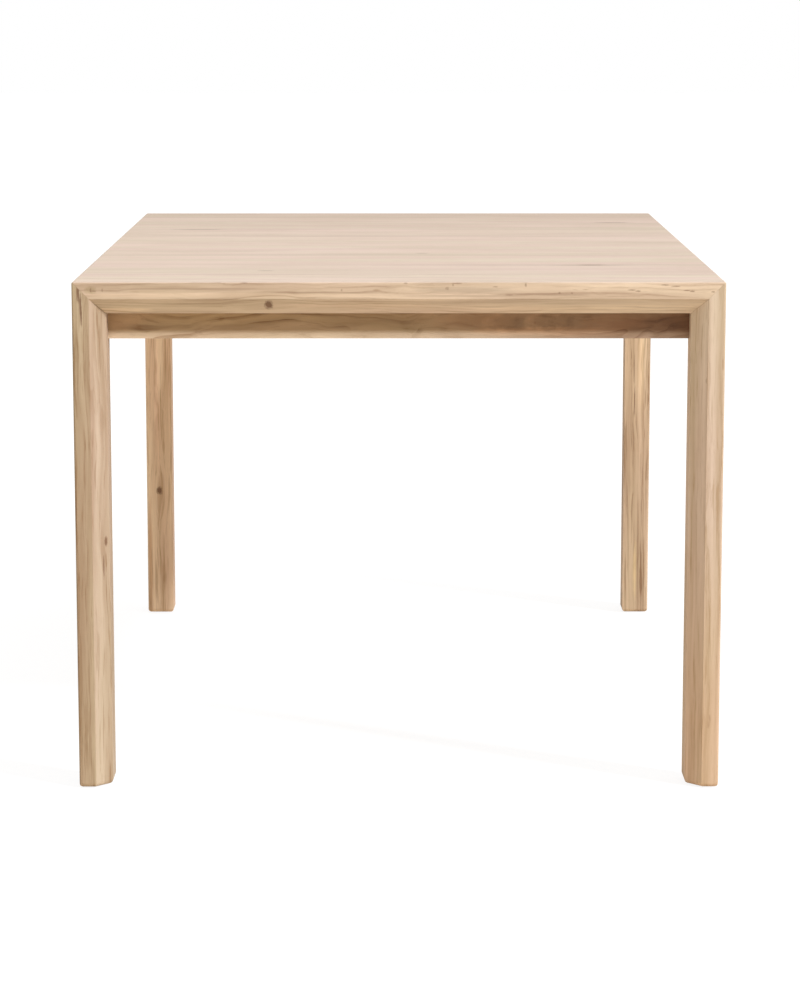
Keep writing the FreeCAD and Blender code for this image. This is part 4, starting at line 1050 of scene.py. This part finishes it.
for half, sign in (("front", -1.0), ("back", 1.0)):
    node = half + "_leg_bolts"
    found = {"studs": [], "washers": [], "nuts": []}
    for points in solids_in(node):
        low, high = span_of(points)
        middle, length = (low + high) / 2, high.y - low.y
        leg_end, free_end = (low.y, high.y) if sign < 0 else (high.y, low.y)
        inward = Vector((0, -sign, 0))
        if length > STUD_LONGER_THAN:
            found["studs"].append((Vector((middle.x, free_end, middle.z)), -inward, length))
            continue
        block_face = Vector((middle.x, leg_end, middle.z))
        nut_face = block_face + inward * WASHER_THICKNESS
        found["washers"].append((block_face, inward, WASHER_THICKNESS))
        found["nuts"].append((nut_face, inward, length - WASHER_THICKNESS))
    for kind, model in (("studs", stud), ("washers", washer), ("nuts", nut)):
        copies_at(model, half + "_leg_" + kind, found[kind], steel, half + "_half", node)
    print(node, {kind: len(places) for kind, places in found.items()})

# %% [markdown]
# ## Pins, bushes and glides
# Dowels in the seam and in the leaf line up the boards, brass bushes take them, and a nylon
# glide sits under each foot. The locks have their pivots and knobs and the pinion its axle.
# Each has its sharp edges taken off, as the real ones do.

# %% Turn pins, bushes, glides, pivots and knobs
PIN = ((0, 0), (2.9, 0), (3.6, 0.5), (4.0, 1.4), (4.0, 30.6), (3.6, 31.5), (2.9, 32.0), (0, 32.0))
BUSH = ((4.2, 0.7), (4.9, 0), (5.8, 0), (6.0, 0.2), (6.0, 16.0), (4.2, 16.0), (4.2, 0.7))
GLIDE = (
    (0, 0), (11.2, 0), (12.9, 0.35), (13.8, 1.2), (14.0, 2.2), (14.0, 4.0), (2.0, 4.0),
    (2.0, 15.0), (0, 16.0),
)
PIVOT = (
    (0, 0), (6.2, 0), (7.4, 0.4), (8.0, 1.1), (8.0, 3.4), (4.0, 3.4), (4.0, 10.7), (1.9, 10.7),
    (1.9, 24.5), (0, 25.7),
)
AXLE = (
    (0, 0), (4.8, 0.1), (6.3, 0.6), (7.0, 1.7), (7.0, 3.5), (4.0, 3.5), (4.0, 33.2), (3.4, 33.8),
    (0, 33.8),
)
KNOB = (
    (0, 0), (4.6, 0), (6.2, 0.5), (6.9, 1.4), (7.0, 2.4), (6.5, 3.9), (5.5, 5.8), (4.7, 8.2),
    (4.35, 11.0), (4.4, 14.0), (4.5, 17.0), (0, 17.0),
)
PIVOT_CROSS_REACH, PIVOT_CROSS_DEPTH = 0.0038, 0.0016

pin = turned("pin", PIN)
bush = turned("bush", BUSH)
glide = turned("glide", GLIDE)
pivot = turned("pivot", PIVOT)
cross_cut(pivot, PIVOT_CROSS_REACH, PIVOT_CROSS_DEPTH)
axle = turned("axle", AXLE)
knob = turned("knob", KNOB)
print("points in the profile of the knob:", len(KNOB))

# %% Set the turned pieces in place
ACROSS, ALONG, UP = range(3)
TURNED_PIECES = (
    (pin, "seam_pins", beech_long, "front_half", "beech", ALONG),
    (pin, "leaf_pins", beech, "carriage", "beech", ACROSS),
    (bush, "seam_bushes", brass, "back_half", "brass", ALONG),
    (bush, "leaf_bushes", brass, "carriage", "brass", ACROSS),
    (glide, "front_foot_glides", black_nylon, "front_half", "black_nylon", UP),
    (glide, "back_foot_glides", black_nylon, "back_half", "black_nylon", UP),
    (pivot, "lock_pivots", steel, "front_half", "steel", UP),
    (axle, "pinion_axle", steel, "carriage", "steel", UP),
    (knob, "left_lock_knob", black_nylon, "left_lock", "black_nylon", UP),
    (knob, "right_lock_knob", black_nylon, "right_lock", "black_nylon", UP),
)
OPENS_OUTWARD = {"seam_bushes": Vector((0, 1, 0)), "leaf_bushes": Vector((-1, 0, 0))}
for model, node, material, body, slot, way in TURNED_PIECES:
    places = []
    for points in solids_in(node):
        start, direction, length = axis_of(points, way)
        if node in OPENS_OUTWARD and direction.dot(OPENS_OUTWARD[node]) < 0:
            start, direction = start + direction * length, -direction
        places.append((start, direction, length))
    copies_at(model, node + "_turned", places, material, body, node)
    print(node, len(places))

for model in (domed_screw, tapered_screw, stud, washer, nut, pin, bush, glide, pivot, axle, knob):
    bpy.data.objects.remove(model)

# %% [markdown]
# ## Felt pads
# Strips of wool felt are glued to the cross bars, and the stored leaf lies on them. Felt has no
# sharp edge: each strip starts as a block, has its edges rounded, is cut fine, and its surface
# is pushed in by a wave of a tenth of a millimetre, which leaves it uneven.

# %% Make the felt pads
FELT_CUTS, FELT_ROUND, FELT_FUZZ, FELT_WAVES = 9, 0.00035, 0.00012, (5100, 4300)
FELT_SMOOTH_BELOW = math.radians(40)

pads = []
for number, points in enumerate(solids_in("leaf_pads")):
    low, high = span_of(points)
    clear_choice()
    bpy.ops.mesh.primitive_cube_add(size=1, location=(low + high) / 2, scale=high - low)
    pad = bpy.context.object
    bpy.ops.object.transform_apply(location=True, rotation=True, scale=True)
    bpy.ops.object.mode_set(mode="EDIT")
    bpy.ops.mesh.select_all(action="SELECT")
    bpy.ops.mesh.bevel(offset=FELT_ROUND, segments=2)
    bpy.ops.mesh.select_all(action="SELECT")
    bpy.ops.mesh.subdivide(number_cuts=FELT_CUTS)
    bpy.ops.object.mode_set(mode="OBJECT")
    middle_x, middle_z = (low.x + high.x) / 2, (low.z + high.z) / 2
    for corner in pad.data.vertices:
        along = corner.co.x * FELT_WAVES[0] + number
        across = corner.co.y * FELT_WAVES[1] + 2 * number
        push = FELT_FUZZ * (1 + math.sin(along) * math.sin(across))
        if low.z + FELT_ROUND / 2 < corner.co.z < high.z - FELT_ROUND / 2:
            corner.co.x -= math.copysign(push, corner.co.x - middle_x)
        else:
            corner.co.z -= math.copysign(push / 2, corner.co.z - middle_z)
    pads.append(pad)
clear_choice()
for pad in pads:
    pad.select_set(True)
bpy.context.view_layer.objects.active = pads[0]
bpy.ops.object.join()
felt_strips = bpy.context.object
felt_strips.name = "felt_strips"
felt_strips.data.materials.append(felt)
bpy.ops.object.transform_apply(location=True, rotation=True, scale=True)
bpy.ops.object.shade_smooth_by_angle(angle=FELT_SMOOTH_BELOW)
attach(felt_strips, "carriage")
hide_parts("leaf_pads")
print("felt strips:", len(pads), "faces:", len(felt_strips.data.polygons))
